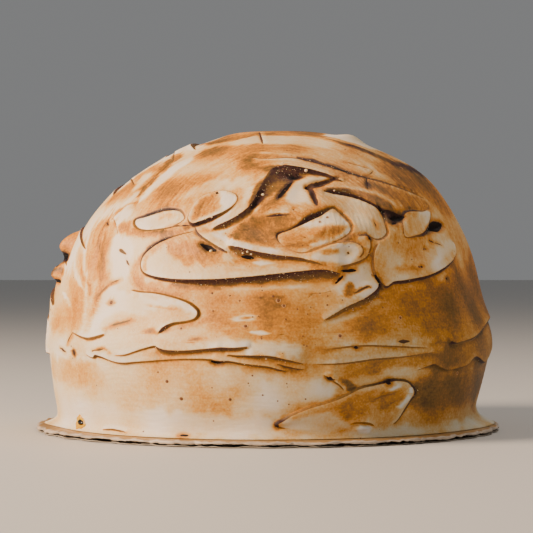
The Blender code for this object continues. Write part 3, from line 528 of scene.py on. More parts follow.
    (.42, 5, [(-3, 160), (8, 162), (12, 167), (7, 176), (-2, 172), (-5, 166)]),
    (.60, 1.5, [(-3.5, 160), (-1, 159.6), (-.5, 161), (-3, 161.2)]),
    (.60, 1.6, [(.8, 162), (2.4, 160.2), (4, 161.4), (5, 164), (3, 165), (1.4, 163.5)]),
    (.06, 1.0, [(-6.5, 169.3), (-4.5, 168.7), (-3, 169.6), (-3.7, 171.6), (-6.5, 172.4), (-8.6, 171.2)]),
    (.50, .8, [(-6.3, 170.2), (-4.6, 169.8), (-4.2, 171), (-6.2, 171.4)]),
    (.0, .6, [(-4.3, 177.2), (-1.5, 177.4), (.4, 178.4), (-1.2, 179.4), (-3.2, 179)]),
    (.05, 5, [(-16, 184.8), (-9, 181.4), (-5.5, 183), (-3, 182.4), (3, 183.2), (9, 185), (19, 187.6),
        (9, 189.5), (0, 188), (-8, 185)]),
    # right of it
    (.44, 8, [(18, 170), (25, 165.5), (34, 157), (46, 153), (60, 146), (80, 138), (110, 130), (110, 185),
        (60, 184), (46, 183), (30, 181), (16, 181)]),
    (.49, 14, [(34, 160), (48, 154), (66, 143), (110, 130), (110, 172), (66, 180), (44, 178), (35, 170)]),
    (.53, 16, [(48, 158), (66, 148), (110, 136), (110, 168), (66, 176), (50, 172)]),
    (.24, 1.6, [(28.5, 162.8), (25, 167), (20, 171), (15, 173.6), (11.3, 177.2), (11.3, 175.8), (15, 171.6),
        (20, 168.6), (24, 165.3), (27.5, 161.5)]),
    (.27, 4, [(11, 180), (20, 179), (32, 182), (44, 184.5), (44, 189.5), (28, 190), (11, 192), (8, 187)]),
    (.40, 1.6, [(10, 186), (14, 184.6), (18.5, 185), (14, 188), (10.5, 188)]),
    (.40, 2, [(21.5, 179.5), (24, 178), (26, 180.5), (24, 183), (22, 182.5)]),
    (.53, 5, [(38, 185), (60, 180), (84, 176), (110, 168), (110, 202), (60, 200), (44, 199), (34, 192)]),
    (.40, 2, [(28, 184.3), (38, 185.2), (46, 185.8), (47, 190), (38, 188), (29, 186.8)]),
    (.27, 2, [(10, 189.5), (20, 190), (26, 190.6), (24, 192.6), (14, 192.8), (8, 192.5)]),
    (.36, 1.5, [(8, 193.4), (12, 194.3), (15.5, 195), (18, 199), (15.5, 199.3), (12, 196.5), (8, 195.2)]),
    (.44, 2.5, [(18.5, 196), (22, 193), (28, 191.5), (36, 191), (44, 192), (38, 196), (30, 195.8),
        (28, 199), (24, 199.5), (19, 200.5)]),
    (.54, 2, [(24.3, 195), (27, 193.5), (27.8, 199.4), (25, 199.6)]),
    (.22, 3, [(29, 196.8), (36, 196.5), (42, 197.5), (43, 201), (39, 202.5), (34, 201.5), (29, 201)]),
    (.28, 2, [(20, 203.5), (25, 201), (28, 202), (26, 203.8), (21, 205)]),
    (.64, 1.6, [(16.5, 201), (19, 201.5), (21, 204.5), (21.5, 206.6), (18.8, 208.6), (18.6, 205.5),
        (17.6, 203)]),
    # wall
    (.18, 8, [(-54, 195), (-40, 197), (-20, 195), (-3, 197), (-6, 206), (-20, 210), (-40, 213),
        (-54, 212)]),
    (.28, 6, [(-76, 195), (-62, 193.5), (-52, 196), (-48, 202), (-56, 208), (-76, 206)]),
    (.28, 5, [(-56, 195), (-47, 195), (-44, 206), (-50, 210)]),
    (.06, 9, [(-3, 200), (9, 199.5), (14, 203), (16, 208), (8, 214), (0, 219), (-8, 218), (-5, 208)]),
    # the wall's right: toast, and also painted shade that makes it darker where the lower right lies in
    # shade
    (.54, 10, [(39, 204), (44, 200), (56, 200.5), (64, 198), (76, 200), (88, 197), (110, 199), (110, 219),
        (64, 222), (46, 221), (39, 216)]),
    (.52, 3, [(46, 189), (54, 187), (64, 184), (66, 192), (58, 195), (50, 196), (45, 193)]),
    (.38, 6, [(38, 222), (50, 220), (66, 219), (110, 216), (110, 226), (64, 226), (40, 227)]),
    (.05, 5, [(-76, 216), (-40, 217), (0, 221), (2, 228), (20, 231), (20, 236), (-76, 236)]),
    (.18, 4, [(20, 228), (110, 226), (110, 236), (20, 236)]),
    # the leaf low on the right
    (.34, 3, [(14, 214), (18, 211), (22, 207), (33, 204), (38, 208), (36, 219), (32, 225), (24, 226),
        (14, 224)]),
    (.13, 3, [(4, 222.5), (8, 219.5), (14, 217), (18, 220), (20, 226), (12, 228), (5, 226)]),
    (.34, 1.6, [(5.5, 220), (12, 216), (18, 212.3), (18.5, 214.5), (12, 217.8), (6.5, 221.2)]),
    (.48, 6, [(19, 210), (24, 208), (26, 214), (24.5, 221), (20, 221), (18, 215)]),
    (.44, 5, [(27.5, 212), (31, 208.5), (36, 208.5), (36, 214), (33.5, 220.5), (29.5, 219.5), (28, 215)]),
    (.44, 2, [(31, 209.5), (34.5, 209.5), (34, 213.5), (31, 213.5)]),
    # The next three cream patches: along the leaf's right rim, partly its own pale edge and partly a
    # painted highlight; then painted highlights on a streak in the leaf and on the foot knob.
    (.03, .9, [(37.2, 206.8), (38.3, 209), (37.6, 213), (35.4, 217.5), (34.6, 217), (36.6, 211.5)]),
    (.02, .8, [(30.8, 207), (33.6, 204.6), (34.3, 205.4), (31.6, 208.2)]),
    (.02, 1.5, [(22.5, 226), (24.5, 225), (26.5, 226.5), (26, 228.6), (23, 228.6)]),
    # upper right
    (.74, .8, [(8, 75.1), (14, 76.9), (20, 79.6), (25, 82.5), (30, 85.5), (34, 87.2), (40, 90.6),
        (47, 94.6), (54, 98.6), (54, 100), (47, 96.6), (40, 92.6), (34, 89.2), (30, 87.4), (25, 84.3),
        (20, 81.4), (14, 78.7), (8, 76.4)]),
    (.60, 1.5, [(33.8, 111.5), (38, 113.2), (42, 115.5), (40, 118.8), (36, 121.2), (34.2, 119)]),
    (.27, 3, [(20, 90), (26, 89), (33, 91), (35, 95.5), (28, 96), (20, 94)]),
    (.50, 4, [(33, 91), (44, 96), (56, 102), (64, 106), (60, 112), (50, 110.5), (43, 109), (39.5, 103),
        (35.5, 98.5), (30, 95)]),
    (.52, 1.5, [(15, 97.6), (22, 96.6), (29, 99), (35, 103), (38.5, 109), (36, 111), (31, 106), (25, 101.5),
        (18, 99.5)]),
    (.14, 1.0, [(14.5, 96.8), (22, 95.2), (29, 96.8), (35, 99.8), (39.8, 105.5), (41, 110), (39, 108),
        (34.3, 102), (28, 98.8), (21, 97)]),
    (.23, 2.0, [(13, 101), (20, 101.5), (26, 105), (31.5, 110), (33.4, 116), (33.6, 125), (31, 129),
        (27, 127), (23, 121), (20, 112), (16, 110), (12.8, 107)]),
    (.30, 4, [(25, 111), (29, 110), (30, 115), (26, 117)]),
    (.38, 2, [(1, 127), (6, 124.5), (9, 124), (9, 133), (6, 137), (2, 134)]),
    (.08, 1.6, [(9, 121.7), (13, 117.8), (17, 113.5), (20.5, 118), (22, 122), (15, 123)]),
    (.44, 1.8, [(9, 127.5), (12, 123.5), (18, 122.3), (20.8, 124.4), (19, 127.5), (12, 129.5)]),
    (.50, 1.6, [(4, 133), (6, 131.3), (12, 131), (13, 132.8), (9, 134.6), (5, 135)]),
    (.12, 1.4, [(12, 134), (16, 131), (21, 127), (22.3, 124), (21, 124), (17, 129.5), (11, 132.8)]),
    (.07, 1.5, [(11, 139), (16, 135), (20, 133.3), (23, 135), (23, 139.5), (19, 143), (12, 142.5)]),
    (.40, 1.6, [(13, 137), (17, 136.2), (17.5, 138), (13.5, 139)]),
    (.48, 1.4, [(19.5, 130.3), (22, 127.3), (26, 126.3), (27.5, 128), (24, 129.6), (20.5, 131.8)]),
    (.46, 1.5, [(10, 142.3), (16, 144.3), (18, 147.5), (16, 148.5), (10, 146)]),
    (.30, 1.5, [(2, 141.3), (10, 142.8), (8, 146), (2, 146.5)]),
    (.12, 2, [(19.5, 148.3), (26, 143), (27.5, 148), (27.5, 153), (22, 152.5), (18, 151)]),
    (.25, 4, [(29, 132), (35, 124), (44, 128), (56, 124), (64, 124), (65, 132), (58, 141), (44, 149),
        (32, 151.5), (28.5, 144)]),
    (.33, 5, [(35, 131), (42, 129.5), (51, 131), (50, 137), (42, 139.5), (36, 138.5)]),
    (.44, 2.5, [(33, 145), (36, 143), (40.5, 143.5), (41, 146.5), (35, 148)]),
    (.12, 2.5, [(54, 133), (62, 129), (65, 131), (60, 137), (54, 140), (46, 146), (44, 145), (52, 139)]),
    (.18, 1.6, [(41, 127), (42, 117), (48, 114.3), (57, 111.5), (52, 120), (46, 125.5)]),
    # curl
    (.12, 2, [(17, 153), (22, 149), (27, 147.5), (28, 152), (27, 158), (21.5, 161.5), (17.5, 160.5)]),
    (.58, 1.2, [(18.4, 160), (18.8, 156), (19.5, 153), (21, 152.5), (21.8, 156.5), (20.8, 160)]),
    (.52, 1.0, [(20.5, 158.5), (22.5, 155.5), (25.5, 154), (26.3, 155.4), (24, 156.8), (21.5, 159.6)]),
]


def swipe(level, soft, wide, *path):
    # a narrow band of toast along a path, as wide as given in mm and thinner at its ends
    points = np.array(path, dtype=float)
    scale = np.stack([mmPerDegree(points[:, 1]), np.ones(len(points))], axis=1)
    ahead = np.gradient(points, axis=0) * scale
    ahead /= np.linalg.norm(ahead, axis=1, keepdims=True)
    aside = 0.5 * wide * np.stack([-ahead[:, 1], ahead[:, 0]], axis=1) / scale
    aside[[0, -1]] *= 0.3
    return level, soft, np.concatenate([points + aside, (points - aside)[::-1]]).tolist()


toastFields += [
    # the wave's torn inner edge, its hook, and the crease above it
    swipe(.66, 1.4, 3.6, (-1, 108), (1, 103), (2.6, 98), (5, 92)),
    swipe(.64, 1.2, 3.2, (21, 89), (14.5, 94), (10, 96.8)),
    swipe(.64, 1.2, 2.8, (10.3, 96.5), (12, 104), (12.8, 110)),
    swipe(.70, 1.2, 4.4, (7, 73.5), (12.5, 75.6), (20.5, 80), (31.5, 86.3)),
    swipe(.46, 1.4, 3.4, (-13.5, 73.5), (-6, 74), (3, 73.3)),
    swipe(.05, 0.8, 1.6, (-1.5, 113.3), (3.5, 113), (8, 111.8)),
    swipe(.68, 1.0, 2.4, (-1.5, 117.4), (1, 116.8), (4, 115.8)),
    swipe(.58, 0.9, 1.8, (18.5, 111.5), (21.5, 117), (22.5, 124)),
    # amber outside the rims of the big pool and the tongue below it
    swipe(.42, 2.4, 4.4, (-15.5, 124.5), (-24.5, 127.5), (-32.5, 134), (-37.2, 144), (-35, 152.5),
        (-25.5, 157.5), (-11.5, 161), (4.5, 162.5)),
    swipe(.36, 2.0, 3.0, (-28.5, 155.5), (-20, 159.5), (-14.6, 166), (-15.5, 172), (-24.5, 177)),
    # where the spatula swung round the left flank: pale and amber streaks side by side
    swipe(.34, 2.0, 7.0, (-68, 150), (-61, 157), (-58, 166), (-56, 178)),
    swipe(.05, 1.2, 2.6, (-68.5, 119.5), (-66, 126.5), (-63, 134), (-59.5, 143), (-55.5, 151.5),
        (-53.5, 163.5), (-52, 175.5)),
    swipe(.05, 1.0, 2.2, (-72.5, 129), (-69, 136.5), (-65, 145), (-59.5, 152), (-55.5, 157)),
    swipe(.42, 1.0, 1.8, (-62.5, 141.5), (-58.5, 148.5), (-53.5, 155), (-52, 160.5)),
    swipe(.44, 1.2, 2.0, (-41.5, 151), (-46, 154.5), (-48.5, 160), (-49, 167), (-49, 175)),
    swipe(.44, 1.6, 3.4, (-55.5, 124), (-54, 130), (-52.5, 137), (-49.5, 144)),
    swipe(.05, 1.0, 2.0, (-70, 158.5), (-64, 162.5), (-59.5, 169)),
    swipe(.56, 1.0, 1.6, (-51, 108), (-53.5, 113.5), (-55.5, 117), (-57, 120)),
    swipe(.05, 1.4, 2.4, (-63.5, 108), (-63.5, 118.5), (-65, 123.5)),
    swipe(.42, 1.0, 1.6, (-61.5, 105), (-60, 114), (-61, 120), (-62, 124.5), (-58.5, 132.5)),
    swipe(.46, 0.8, 1.2, (-59, 110), (-57.5, 118), (-58, 126), (-55.5, 136)),
]

# The fine streaks in the skin: their length and pitch in mm, and the point on the dome that the
# spatula went round, with the size in mm of the ring that carries the streaks round it.
grain = dict(long=26.0, short=2.0, fineLong=15.0, fineShort=0.7,
             centreBearing=4.0, centreDown=118.0, ring=60.0)


class Stroke:
    # Evenly spaced samples along one stroke: where each is, the way along, the way into its
    # sheet, and the face's width, how burnt it is and how far the sheet stands up.
    endTaper = 0.006          # the face narrows over this much at either end,
    burnTaper = 0.003         # and the burn fades over this much

    def __init__(self, points, closed=False, spacing=0.8 * mm):
        curve = smoothPath(walkedRound(points) if closed else points, closed)
        places = onSkin(curve[:, 0], curve[:, 1] * mm)
        run = np.concatenate([[0.0], np.cumsum(np.linalg.norm(np.diff(places, axis=0), axis=1))])
        even = np.linspace(0.0, run[-1], max(8, int(run[-1] / spacing)))
        bearing = np.interp(even, run, curve[:, 0])
        down = np.interp(even, run, curve[:, 1]) * mm
        self.places = onSkin(bearing, down)
        self.step = even[1] - even[0]
        ahead = np.gradient(self.places, axis=0)
        self.ahead = ahead / np.linalg.norm(ahead, axis=1, keepdims=True)
        inward = np.cross(skinNormal(bearing, down), self.ahead)
        self.inward = inward / np.linalg.norm(inward, axis=1, keepdims=True)
        if curve.shape[1] > 2:
            self.width = np.interp(even, run, curve[:, 2]) * mm
            self.burn = np.interp(even, run, curve[:, 3])
            self.stands = np.ones(len(even))
            if curve.shape[1] > 4:
                self.stands = np.interp(even, run, curve[:, 4])
            if not closed:
                ends = np.minimum(even, even[-1] - even)
                self.width *= (ends / self.endTaper).clip(0.0, 1.0) ** 0.5
                self.burn *= smoothStep(ends / self.burnTaper)


def walkedRound(points):
    # a closed outline in the direction that leaves its inside to the left
    turn, fall = np.array(points, dtype=float)[:, :2].T
    area = np.sum(turn * np.roll(fall, -1) - np.roll(turn, -1) * fall)
    return points[::-1] if area > 0 else points


def smoothPath(points, closed, samples=8):
    # a Catmull-Rom curve with a few samples to each span
    points = np.array(points, dtype=float)
    if closed:
        padded = np.concatenate([points[-1:], points, points[:2]])
    else:
        before = 2 * points[:1] - points[1:2]
        after = 2 * points[-1:] - points[-2:-1]
        padded = np.concatenate([before, points, after])
    rows = []
    for before, start, end, after in zip(padded, padded[1:], padded[2:], padded[3:]):
        for share in np.linspace(0.0, 1.0, samples, endpoint=False):
            rows.append(0.5 * (2 * start + (end - before) * share
                               + (2 * before - 5 * start + 4 * end - after) * share ** 2
                               + (3 * start - before - 3 * end + after) * share ** 3))
    rows.append(points[0] if closed else points[-1])
    return np.array(rows)


def measure(places, stroke, reach, atOnce=20000):
    # which places are in reach, how far each is into the sheet, and its nearest sample
    low = stroke.places.min(axis=0) - reach
    high = stroke.places.max(axis=0) + reach
    near = np.flatnonzero(((places > low) & (places < high)).all(axis=1))
    signed = np.empty(len(near))
    sample = np.empty(len(near), dtype=int)
    edgeSquare = np.einsum("ij,ij->i", stroke.places, stroke.places)
    for start in range(0, len(near), atOnce):
        part = slice(start, start + atOnce)
        spots = places[near[part]]
        closest = (edgeSquare - 2 * spots @ stroke.places.T).argmin(axis=1)
        offset = spots - stroke.places[closest]
        inward = np.einsum("ij,ij->i", offset, stroke.inward[closest])
        along = np.abs(np.einsum("ij,ij->i", offset, stroke.ahead[closest]))
        past = (along - 0.6 * stroke.step).clip(0.0)
        signed[part] = np.where(inward >= 0.0, 1.0, -1.0) * np.hypot(inward, past)
        sample[part] = closest
    return near, signed, sample


lip = dict(
    least=0.0004,          # height of the thinnest lip
    slope=0.52,            # height that each unit of the face's width adds
    slopeBeyond=0.10,      # the same for what is wider than wideFace
    wideFace=0.0032,
    groove=0.16,           # dent along the middle of the face, as a share of its width
    grooveMost=0.0006,
    grooveReach=0.45,      # half the dent's width, as a share of the face's,
    grooveLeast=0.0003,    # and this much more
    reach=0.006,           # how far into its sheet a lip is felt
    reachSlope=1.3,
    dip=0.28,              # dip in front of the face, as a share of its height
    dipReach=0.0045,
    thinFace=0.0006,       # a lip whose face is thinner than this fades out
    leastFace=0.0008,
    rim=0.10,              # rolled bead right along the edge, as a share of the height
    rimReach=0.0011,
    overhang=0.34,         # how far the edge leans out over its face, as a share of the height
    overhangMost=0.0009,
    overhangReach=0.0011,
    farthest=2.4,          # how many reaches away a stroke is still worked out
    farthestLeast=0.012,
)


def lipHeight(signed, width):
    # how high the sheet, its lip and the face stand at a distance into the sheet
    height = lip["least"] + lip["slope"] * np.minimum(width, lip["wideFace"])
    height += lip["slopeBeyond"] * (width - lip["wideFace"]).clip(0.0)
    height *= (width / lip["thinFace"]).clip(0.0, 1.0)
    dip = lip["dip"] * height
    inside = signed.clip(0.0)
    sheet = height * np.exp(-(inside / (lip["reach"] + lip["reachSlope"] * width)) ** 1.5)
    sheet += lip["rim"] * height * np.exp(-(inside / lip["rimReach"]) ** 2)
    face = width.clip(lip["leastFace"])
    fallen = smoothStep(-signed / face)
    fading = np.exp(-((-signed - face).clip(0.0) / lip["dipReach"]) ** 2)
    top = height * (1 + lip["rim"])
    torn = np.where(-signed < face, top - fallen * (top + dip), -dip * fading)
    return np.where(signed >= 0.0, sheet, torn)


paintEdges = dict(
    groups=5,       # each group of strokes paints its own nearest edges
    apart=0.013,    # the strokes of one group are at least this far from each other
    midway=0.003,   # between two edges of a group the burn fades over this much
    reach=0.011,    # beyond its face an edge is painted as far as this,
    fade=0.004,     # and fades over this much
    most=16.0,      # the distances given to the paint end here, in mm
)
farOff = 1.0                  # metres, further than any edge


def shareOut(samples):
    # puts the strokes into a few groups, so that those of one group stay well apart
    groups = []
    chosen = []
    for stroke in samples:
        sparse = stroke.places[::4]
        gaps = []
        for group in groups:
            gaps.append(min(np.linalg.norm(sparse[:, None] - other[None], axis=2).min()
                            for other in group))
        fits = [index for index, gap in enumerate(gaps) if gap > paintEdges["apart"]]
        if fits:
            index = fits[0]
        elif len(groups) < paintEdges["groups"]:
            groups.append([])
            index = len(groups) - 1
        else:
            index = int(np.argmax(gaps))
        groups[index].append(sparse)
        chosen.append(index)
    return chosen


swells = dict(
    size=0.055, height=0.0006, seed=7,        # slow unevenness of the whole skin
    rippleHeight=0.00004,                     # ripples that the spatula's edge leaves in its streaks
    ripples=((3.1, 0.35, 0.03, 1.0), (1.7, 0.5, 0.02, 0.7)),     # pitch mm, waver, its size, share
    rippleFade=0.04,
)
markShape = dict(
    depth=0.30,     # as a share of the mark's width
    reach=0.006,
    tip=0.35,       # how wide its ends still are
    outside=-9.0,   # mm, what the paint reads away from every mark
)
blend = dict(reach=0.0022, passes=14)         # edges stay crisp this near them
footFade = 0.004              # the relief dies away this far above the board
peaks = [
    # bearing, down, half width across, half height down, stand in mm, how much the tip droops
    (-85, 132, 6, 9, 6.4, 2.5), (-79, 148, 5, 6.5, 4.6, 2.0), (142, 96, 6, 8, 7, 2.0),
    (232, 70, 6, 7, 6, 2.0),
]
hollows = [
    # bearing, down, half width across, half height down, depth, turn in degrees; sizes in mm
    (38.2, 116.6, 7.0, 4.0, 1.9, 4), (58.5, 120.2, 9.0, 3.5, 2.8, 3),
    (-16.6, 134.2, 4.5, 1.8, 1.0, 40), (6, 89.5, 7.0, 3.5, 1.2, -10),
    (-12.2, 192.6, 2.5, 1.6, 0.8, 0), (-56.5, 84, 4.0, 16.0, 1.8, -10),
    (24, 226.5, 5.0, 3.4, -2.2, 0), (18.6, 204.2, 3.5, 4.0, 1.0, 0), (76, 36, 16.0, 8.0, -2.6, 8),
    (42, 27, 14.0, 7.0, 0.8, 15), (-62, 42, 20.0, 8.0, 1.0, 0),
    (7, 101, 5.0, 9.0, 0.9, 8), (13, 126, 9.0, 3.0, -1.0, -22), (19, 138, 7.0, 3.4, 0.9, -12),
    (45, 135, 17.0, 7.0, 2.4, -8), (24, 114, 10.0, 8.0, 1.3, 20), (-24, 138, 12.0, 5.0, 1.1, 4),
    (-35, 118, 9.0, 3.6, 1.0, -6), (-19, 110, 6.0, 6.0, 0.8, 0), (-3, 123, 9.0, 6.0, 1.4, 8),
    (22, 154, 5.0, 4.0, 0.8, 0), (49, 118, 7.0, 5.0, 0.8, -20), (-30, 165, 14.0, 4.0, -0.3, 6),
    (29, 213, 12.0, 7.0, 1.3, -10), (-44, 138, 4.0, 11.0, -1.0, -12), (-54, 140, 4.0, 14.0, 1.0, -14),
]
smears = [
    # bearing, spread in degrees, how far out, how high up: meringue drawn out on to the board
    (90.0, 24.0, 0.0080, 0.0105), (-88.0, 11.0, 0.0060, 0.0050), (200.0, 16.0, 0.0050, 0.0050),
]
skinMesh = dict(
    front=0.24, back=0.48,  # degrees between columns in front and behind,
    frontHalf=96.0,     # and how far the front goes to either side
    rows=0.5, firstRow=0.8,  # mm between rows, and from the crown to the first
    triangles=196000,   # what the thinned skin keeps
)


def skinGrid():
    edge = skinMesh["frontHalf"]
    front = np.arange(-edge, edge, skinMesh["front"] * fineness)
    back = np.arange(edge, 360.0 - edge, skinMesh["back"] * fineness)
    bearings = np.concatenate([front, back])
    rowCount = int(skinLength / (skinMesh["rows"] * mm * fineness))
    downs = np.linspace(skinMesh["firstRow"] * mm, skinLength, rowCount)
    across, fall = np.meshgrid(bearings, downs)
    index = np.arange(across.size).reshape(across.shape)
    right = np.roll(index, -1, axis=1)
    quads = np.stack([index[:-1], index[1:], right[1:], right[:-1]], axis=-1).reshape(-1, 4)
    pole = across.size
    foot = pole + 1
    caps = [(pole, int(a), int(b)) for a, b in zip(index[0], right[0])]
    caps += [(foot, int(b), int(a)) for a, b in zip(index[-1], right[-1])]
    return across, fall, quads.tolist() + caps


flame = dict(
    least=0.09, more=0.24,                  # level of toast away from the flame, and what it adds
    bearing=70, near=150, fade=110,         # where it dwelt, on the right-hand side, in degrees
    crown=0.26, crownDown=41.0, crownFade=8.0,
    drift=0.05, driftSize=0.030,            # slow unevenness of the level
    ragged=((0.008, 1.0), (0.0035, 0.6)),   # how the patches' edges wander: size and share
    raggedShare=0.22, raggedMost=1.2,       # of a patch's softness, and mm
)


def paintToast(places, bearing, down):
    # lays the coats of toast one over another
    toward = np.abs(turnFrom(bearing, flame["bearing"]))
    toast = flame["least"] + flame["more"] * smoothStep((flame["near"] - toward) / flame["fade"])
    rng = np.random.default_rng(31)
    drift = waves(places, rng, flame["driftSize"]) * flame["drift"]
    ragged = sum(share * waves(places, rng, size) for size, share in flame["ragged"])
    crown = smoothStep((flame["crownDown"] - down / mm) / flame["crownFade"])
    toast += drift + flame["crown"] * crown
    for level, soft, outline in toastFields + sideToast():
        field = Stroke(outline, closed=True, spacing=1.2 * mm)
        near, signed, _ = measure(places, field, 0.5 * soft * mm + 0.003)
        cover = insideOutline(bearing, down / mm, outline).astype(float)
        wander = min(flame["raggedShare"] * soft, flame["raggedMost"]) * mm
        signed = (2 * cover[near] - 1) * np.abs(signed) + ragged[near] * wander
        cover[near] = smoothStep(signed / (soft * mm) + 0.5)
        touched = np.flatnonzero(cover)
        toast[touched] += (level + drift[touched] - toast[touched]) * cover[touched]
    return toast


def insideOutline(turn, fall, outline):
    # which places lie inside a closed outline, by the crossings of a level line to one side
    curve = smoothPath(outline, True)
    middle = 0.5 * (curve[:, 0].min() + curve[:, 0].max())
    turn = turnFrom(turn, middle) + middle
    close = np.flatnonzero((np.abs(turn - middle) <= np.ptp(curve[:, 0]) / 2)
                           & (fall >= curve[:, 1].min()) & (fall <= curve[:, 1].max()))
    turn = turn[close]
    level = fall[close]
    odd = np.zeros(len(close), dtype=bool)
    for (turnA, fallA), (turnB, fallB) in zip(curve[:-1], curve[1:]):
        if fallA != fallB:
            crossing = turnA + (level - fallA) * (turnB - turnA) / (fallB - fallA)
            odd ^= ((fallA > level) != (fallB > level)) & (turn < crossing)
    inside = np.zeros(len(fall), dtype=bool)
    inside[close] = odd
    return inside


sidePatches = [
    # how many, first and last mm down, smallest and largest half length in mm
    (16, (50, 180), (16, 30)), (10, (195, 226), (10, 18)), (26, (20, 182), (7, 15)),
]
sideLevels = [.04, .08, .30, .40, .50]


def sideToast():
    # patches like the front's on the sides, back and crown, each drawn out along the strokes
    rng = np.random.default_rng(12)
    fields = []
    for count, (low, high), (smallest, largest) in sidePatches:
        for _ in range(count):
            bearing = rng.uniform(108, 262)
            down = rng.uniform(low, high)
            size = rng.uniform(smallest, largest)
            level = rng.choice(sideLevels)
            height = size * rng.uniform(0.3, 0.5)
            oval = ringPath(bearing, down, size, height, rng.uniform(-20, 20), 1, 1)
            soft = rng.uniform(2.0, 7.0)
            fields.append((level, soft, [(turn, fall) for turn, fall, _, _ in oval]))
    return fields


def layStrokes(base, samples, lifts, group):
    # Raises each stroke's sheet. Also gives the lean of the lips, the distance to the nearest
    # edge, and for the paint the nearest edge of each group: mm into its sheet, face width, burn.
    count = len(base)
    relief = np.zeros(count)
    lean = np.zeros((count, 3))
    nearest = np.full(count, farOff)
    best = np.full((paintEdges["groups"], count), farOff)
    second = best.copy()
    edges = np.zeros((paintEdges["groups"], count, 3))
    for stroke, which, raised in zip(samples, group, lifts):
        reach = lip["farthest"] * (lip["reach"] + lip["reachSlope"] * stroke.width.max())
        near, signed, sample = measure(base, stroke, max(lip["farthestLeast"], reach))
        width = stroke.width[sample]
        stands = raised * stroke.stands[sample]
        relief[near] += stands * lipHeight(signed, width)
        dent = (lip["groove"] * width * (2.0 - np.abs(stands))).clip(0.0, lip["grooveMost"])
        middle = (signed + 0.5 * width) / (lip["grooveReach"] * width + lip["grooveLeast"])
        relief[near] -= dent * np.exp(-middle ** 2)
        height = lip["slope"] * width
        push = stands.clip(0.0) * (lip["overhang"] * height).clip(0.0, lip["overhangMost"])
        push *= np.exp(-(signed / lip["overhangReach"]) ** 2)
        lean[near] -= stroke.inward[sample] * push[:, None]
        away = np.abs(signed)
        beside = np.where(signed < 0.0, (away - width).clip(0.0), away)
        nearest[near] = np.minimum(nearest[near], beside)
        closer = away < best[which, near]
        second[which, near] = np.where(closer, best[which, near],
                                       np.minimum(second[which, near], away))
        best[which, near] = np.where(closer, away, best[which, near])
        hit = near[closer]
        edges[which, hit, 0] = signed[closer] / mm
        edges[which, hit, 1] = width[closer] / mm
        edges[which, hit, 2] = stroke.burn[sample[closer]]
    for edge, first, other in zip(edges, best, second):
        clear = smoothStep((other - first) / paintEdges["midway"])
        clear *= smoothStep((paintEdges["reach"] + edge[:, 1] * mm - first) / paintEdges["fade"])
        edge[:, 2] *= clear
        edge[:, 0] = edge[:, 0].clip(-paintEdges["most"], paintEdges["most"])
    return relief, lean, nearest, edges


def cutMarks(base, relief, nearest):
    # sinks the marks into the relief, and gives the paint mm inside the nearest one and its burn
    mark = np.zeros((len(base), 3))
    mark[:, 0] = markShape["outside"]
    for turnA, fallA, turnB, fallB, width, burn in marks:
        line = Stroke([(turnA, fallA, width, burn), (turnB, fallB, width, burn)], spacing=0.4 * mm)
        near, signed, sample = measure(base, line, markShape["reach"])
        taper = (1 - markShape["tip"]) * line.width[sample] / line.width.max()
        inside = 0.5 * width * mm * (markShape["tip"] + taper) - np.abs(signed)
        closer = inside / mm > mark[near, 0]
        mark[near[closer], 0] = inside[closer] / mm
        mark[near[closer], 1] = burn
        depth = markShape["depth"] * width * mm
        relief[near] -= depth * smoothStep(0.5 + inside / (width * mm))
        nearest[near] = np.minimum(nearest[near], (-inside).clip(0.0))
    return mark


def smoothBetween(relief, nearest, shape):
    # away from the edges the sheets run smoothly into each other
    soft = relief.reshape(shape)
    for _ in range(int(blend["passes"] / fineness)):
        soft = (np.roll(soft, 1, axis=1) + np.roll(soft, -1, axis=1) + 2 * soft) / 4
        soft[1:-1] = (soft[:-2] + soft[2:] + 2 * soft[1:-1]) / 4
    keep = np.exp(-(nearest / blend["reach"]) ** 2)
    return keep * relief + (1 - keep) * soft.ravel()


def unevenness(base, bearing, down, streaks):
    # slow swells less the hollows, and the ripples along the streaks
    rng = np.random.default_rng(swells["seed"])
    uneven = swells["height"] * waves(base, rng, swells["size"])
    for turn, fall, wide, tall, depth, tilt in hollows:
        uneven -= depth * mm * hollowAt(bearing, down, turn, fall, wide, tall, tilt)
    ripple = np.zeros(len(base))
    for pitch, waver, size, share in swells["ripples"]:
        ripple += share * np.sin(math.tau * (streaks[:, 0] / pitch + waver * waves(base, rng, size)))
    fade = 0.6 + 0.4 * waves(base, rng, swells["rippleFade"])
    return uneven + swells["rippleHeight"] * ripple * fade


def hollowAt(bearing, down, turn, fall, wide, tall, lean):
    # a soft oval dent, 1 at its middle
    aside = turnFrom(bearing, turn) * mmPerDegree(fall)
    lower = down / mm - fall
    angle = math.radians(lean)
    along = aside * math.cos(angle) + lower * math.sin(angle)
    across = lower * math.cos(angle) - aside * math.sin(angle)
    return np.exp(-((along / wide) ** 2 + (across / tall) ** 2) * 1.4)


def onePlace(bearing, down):
    # the plain skin's point at a bearing and a distance in mm, and the way out from it
    bearing = np.array([bearing])
    down = np.array([down * mm])
    return onSkin(bearing, down)[0], skinNormal(bearing, down)[0]


def pullPeaks(places, base, normal):
    for turn, fall, wide, tall, stand, droop in peaks:
        centre = onePlace(turn, fall)[0]
        downhill = onePlace(turn, fall + 1.0)[0] - centre
        downhill /= np.linalg.norm(downhill)
        offset = base - centre
        lower = offset @ downhill
        aside = np.sqrt((np.einsum("ij,ij->i", offset, offset) - lower ** 2).clip(0.0))
        rise = (1.0 - np.hypot(aside / (wide * mm), lower / (tall * mm)) ** 2).clip(0.0) ** 1.4
        places += normal * (stand * mm * rise)[:, None]
        places += downhill * (droop * mm * rise ** 2)[:, None]


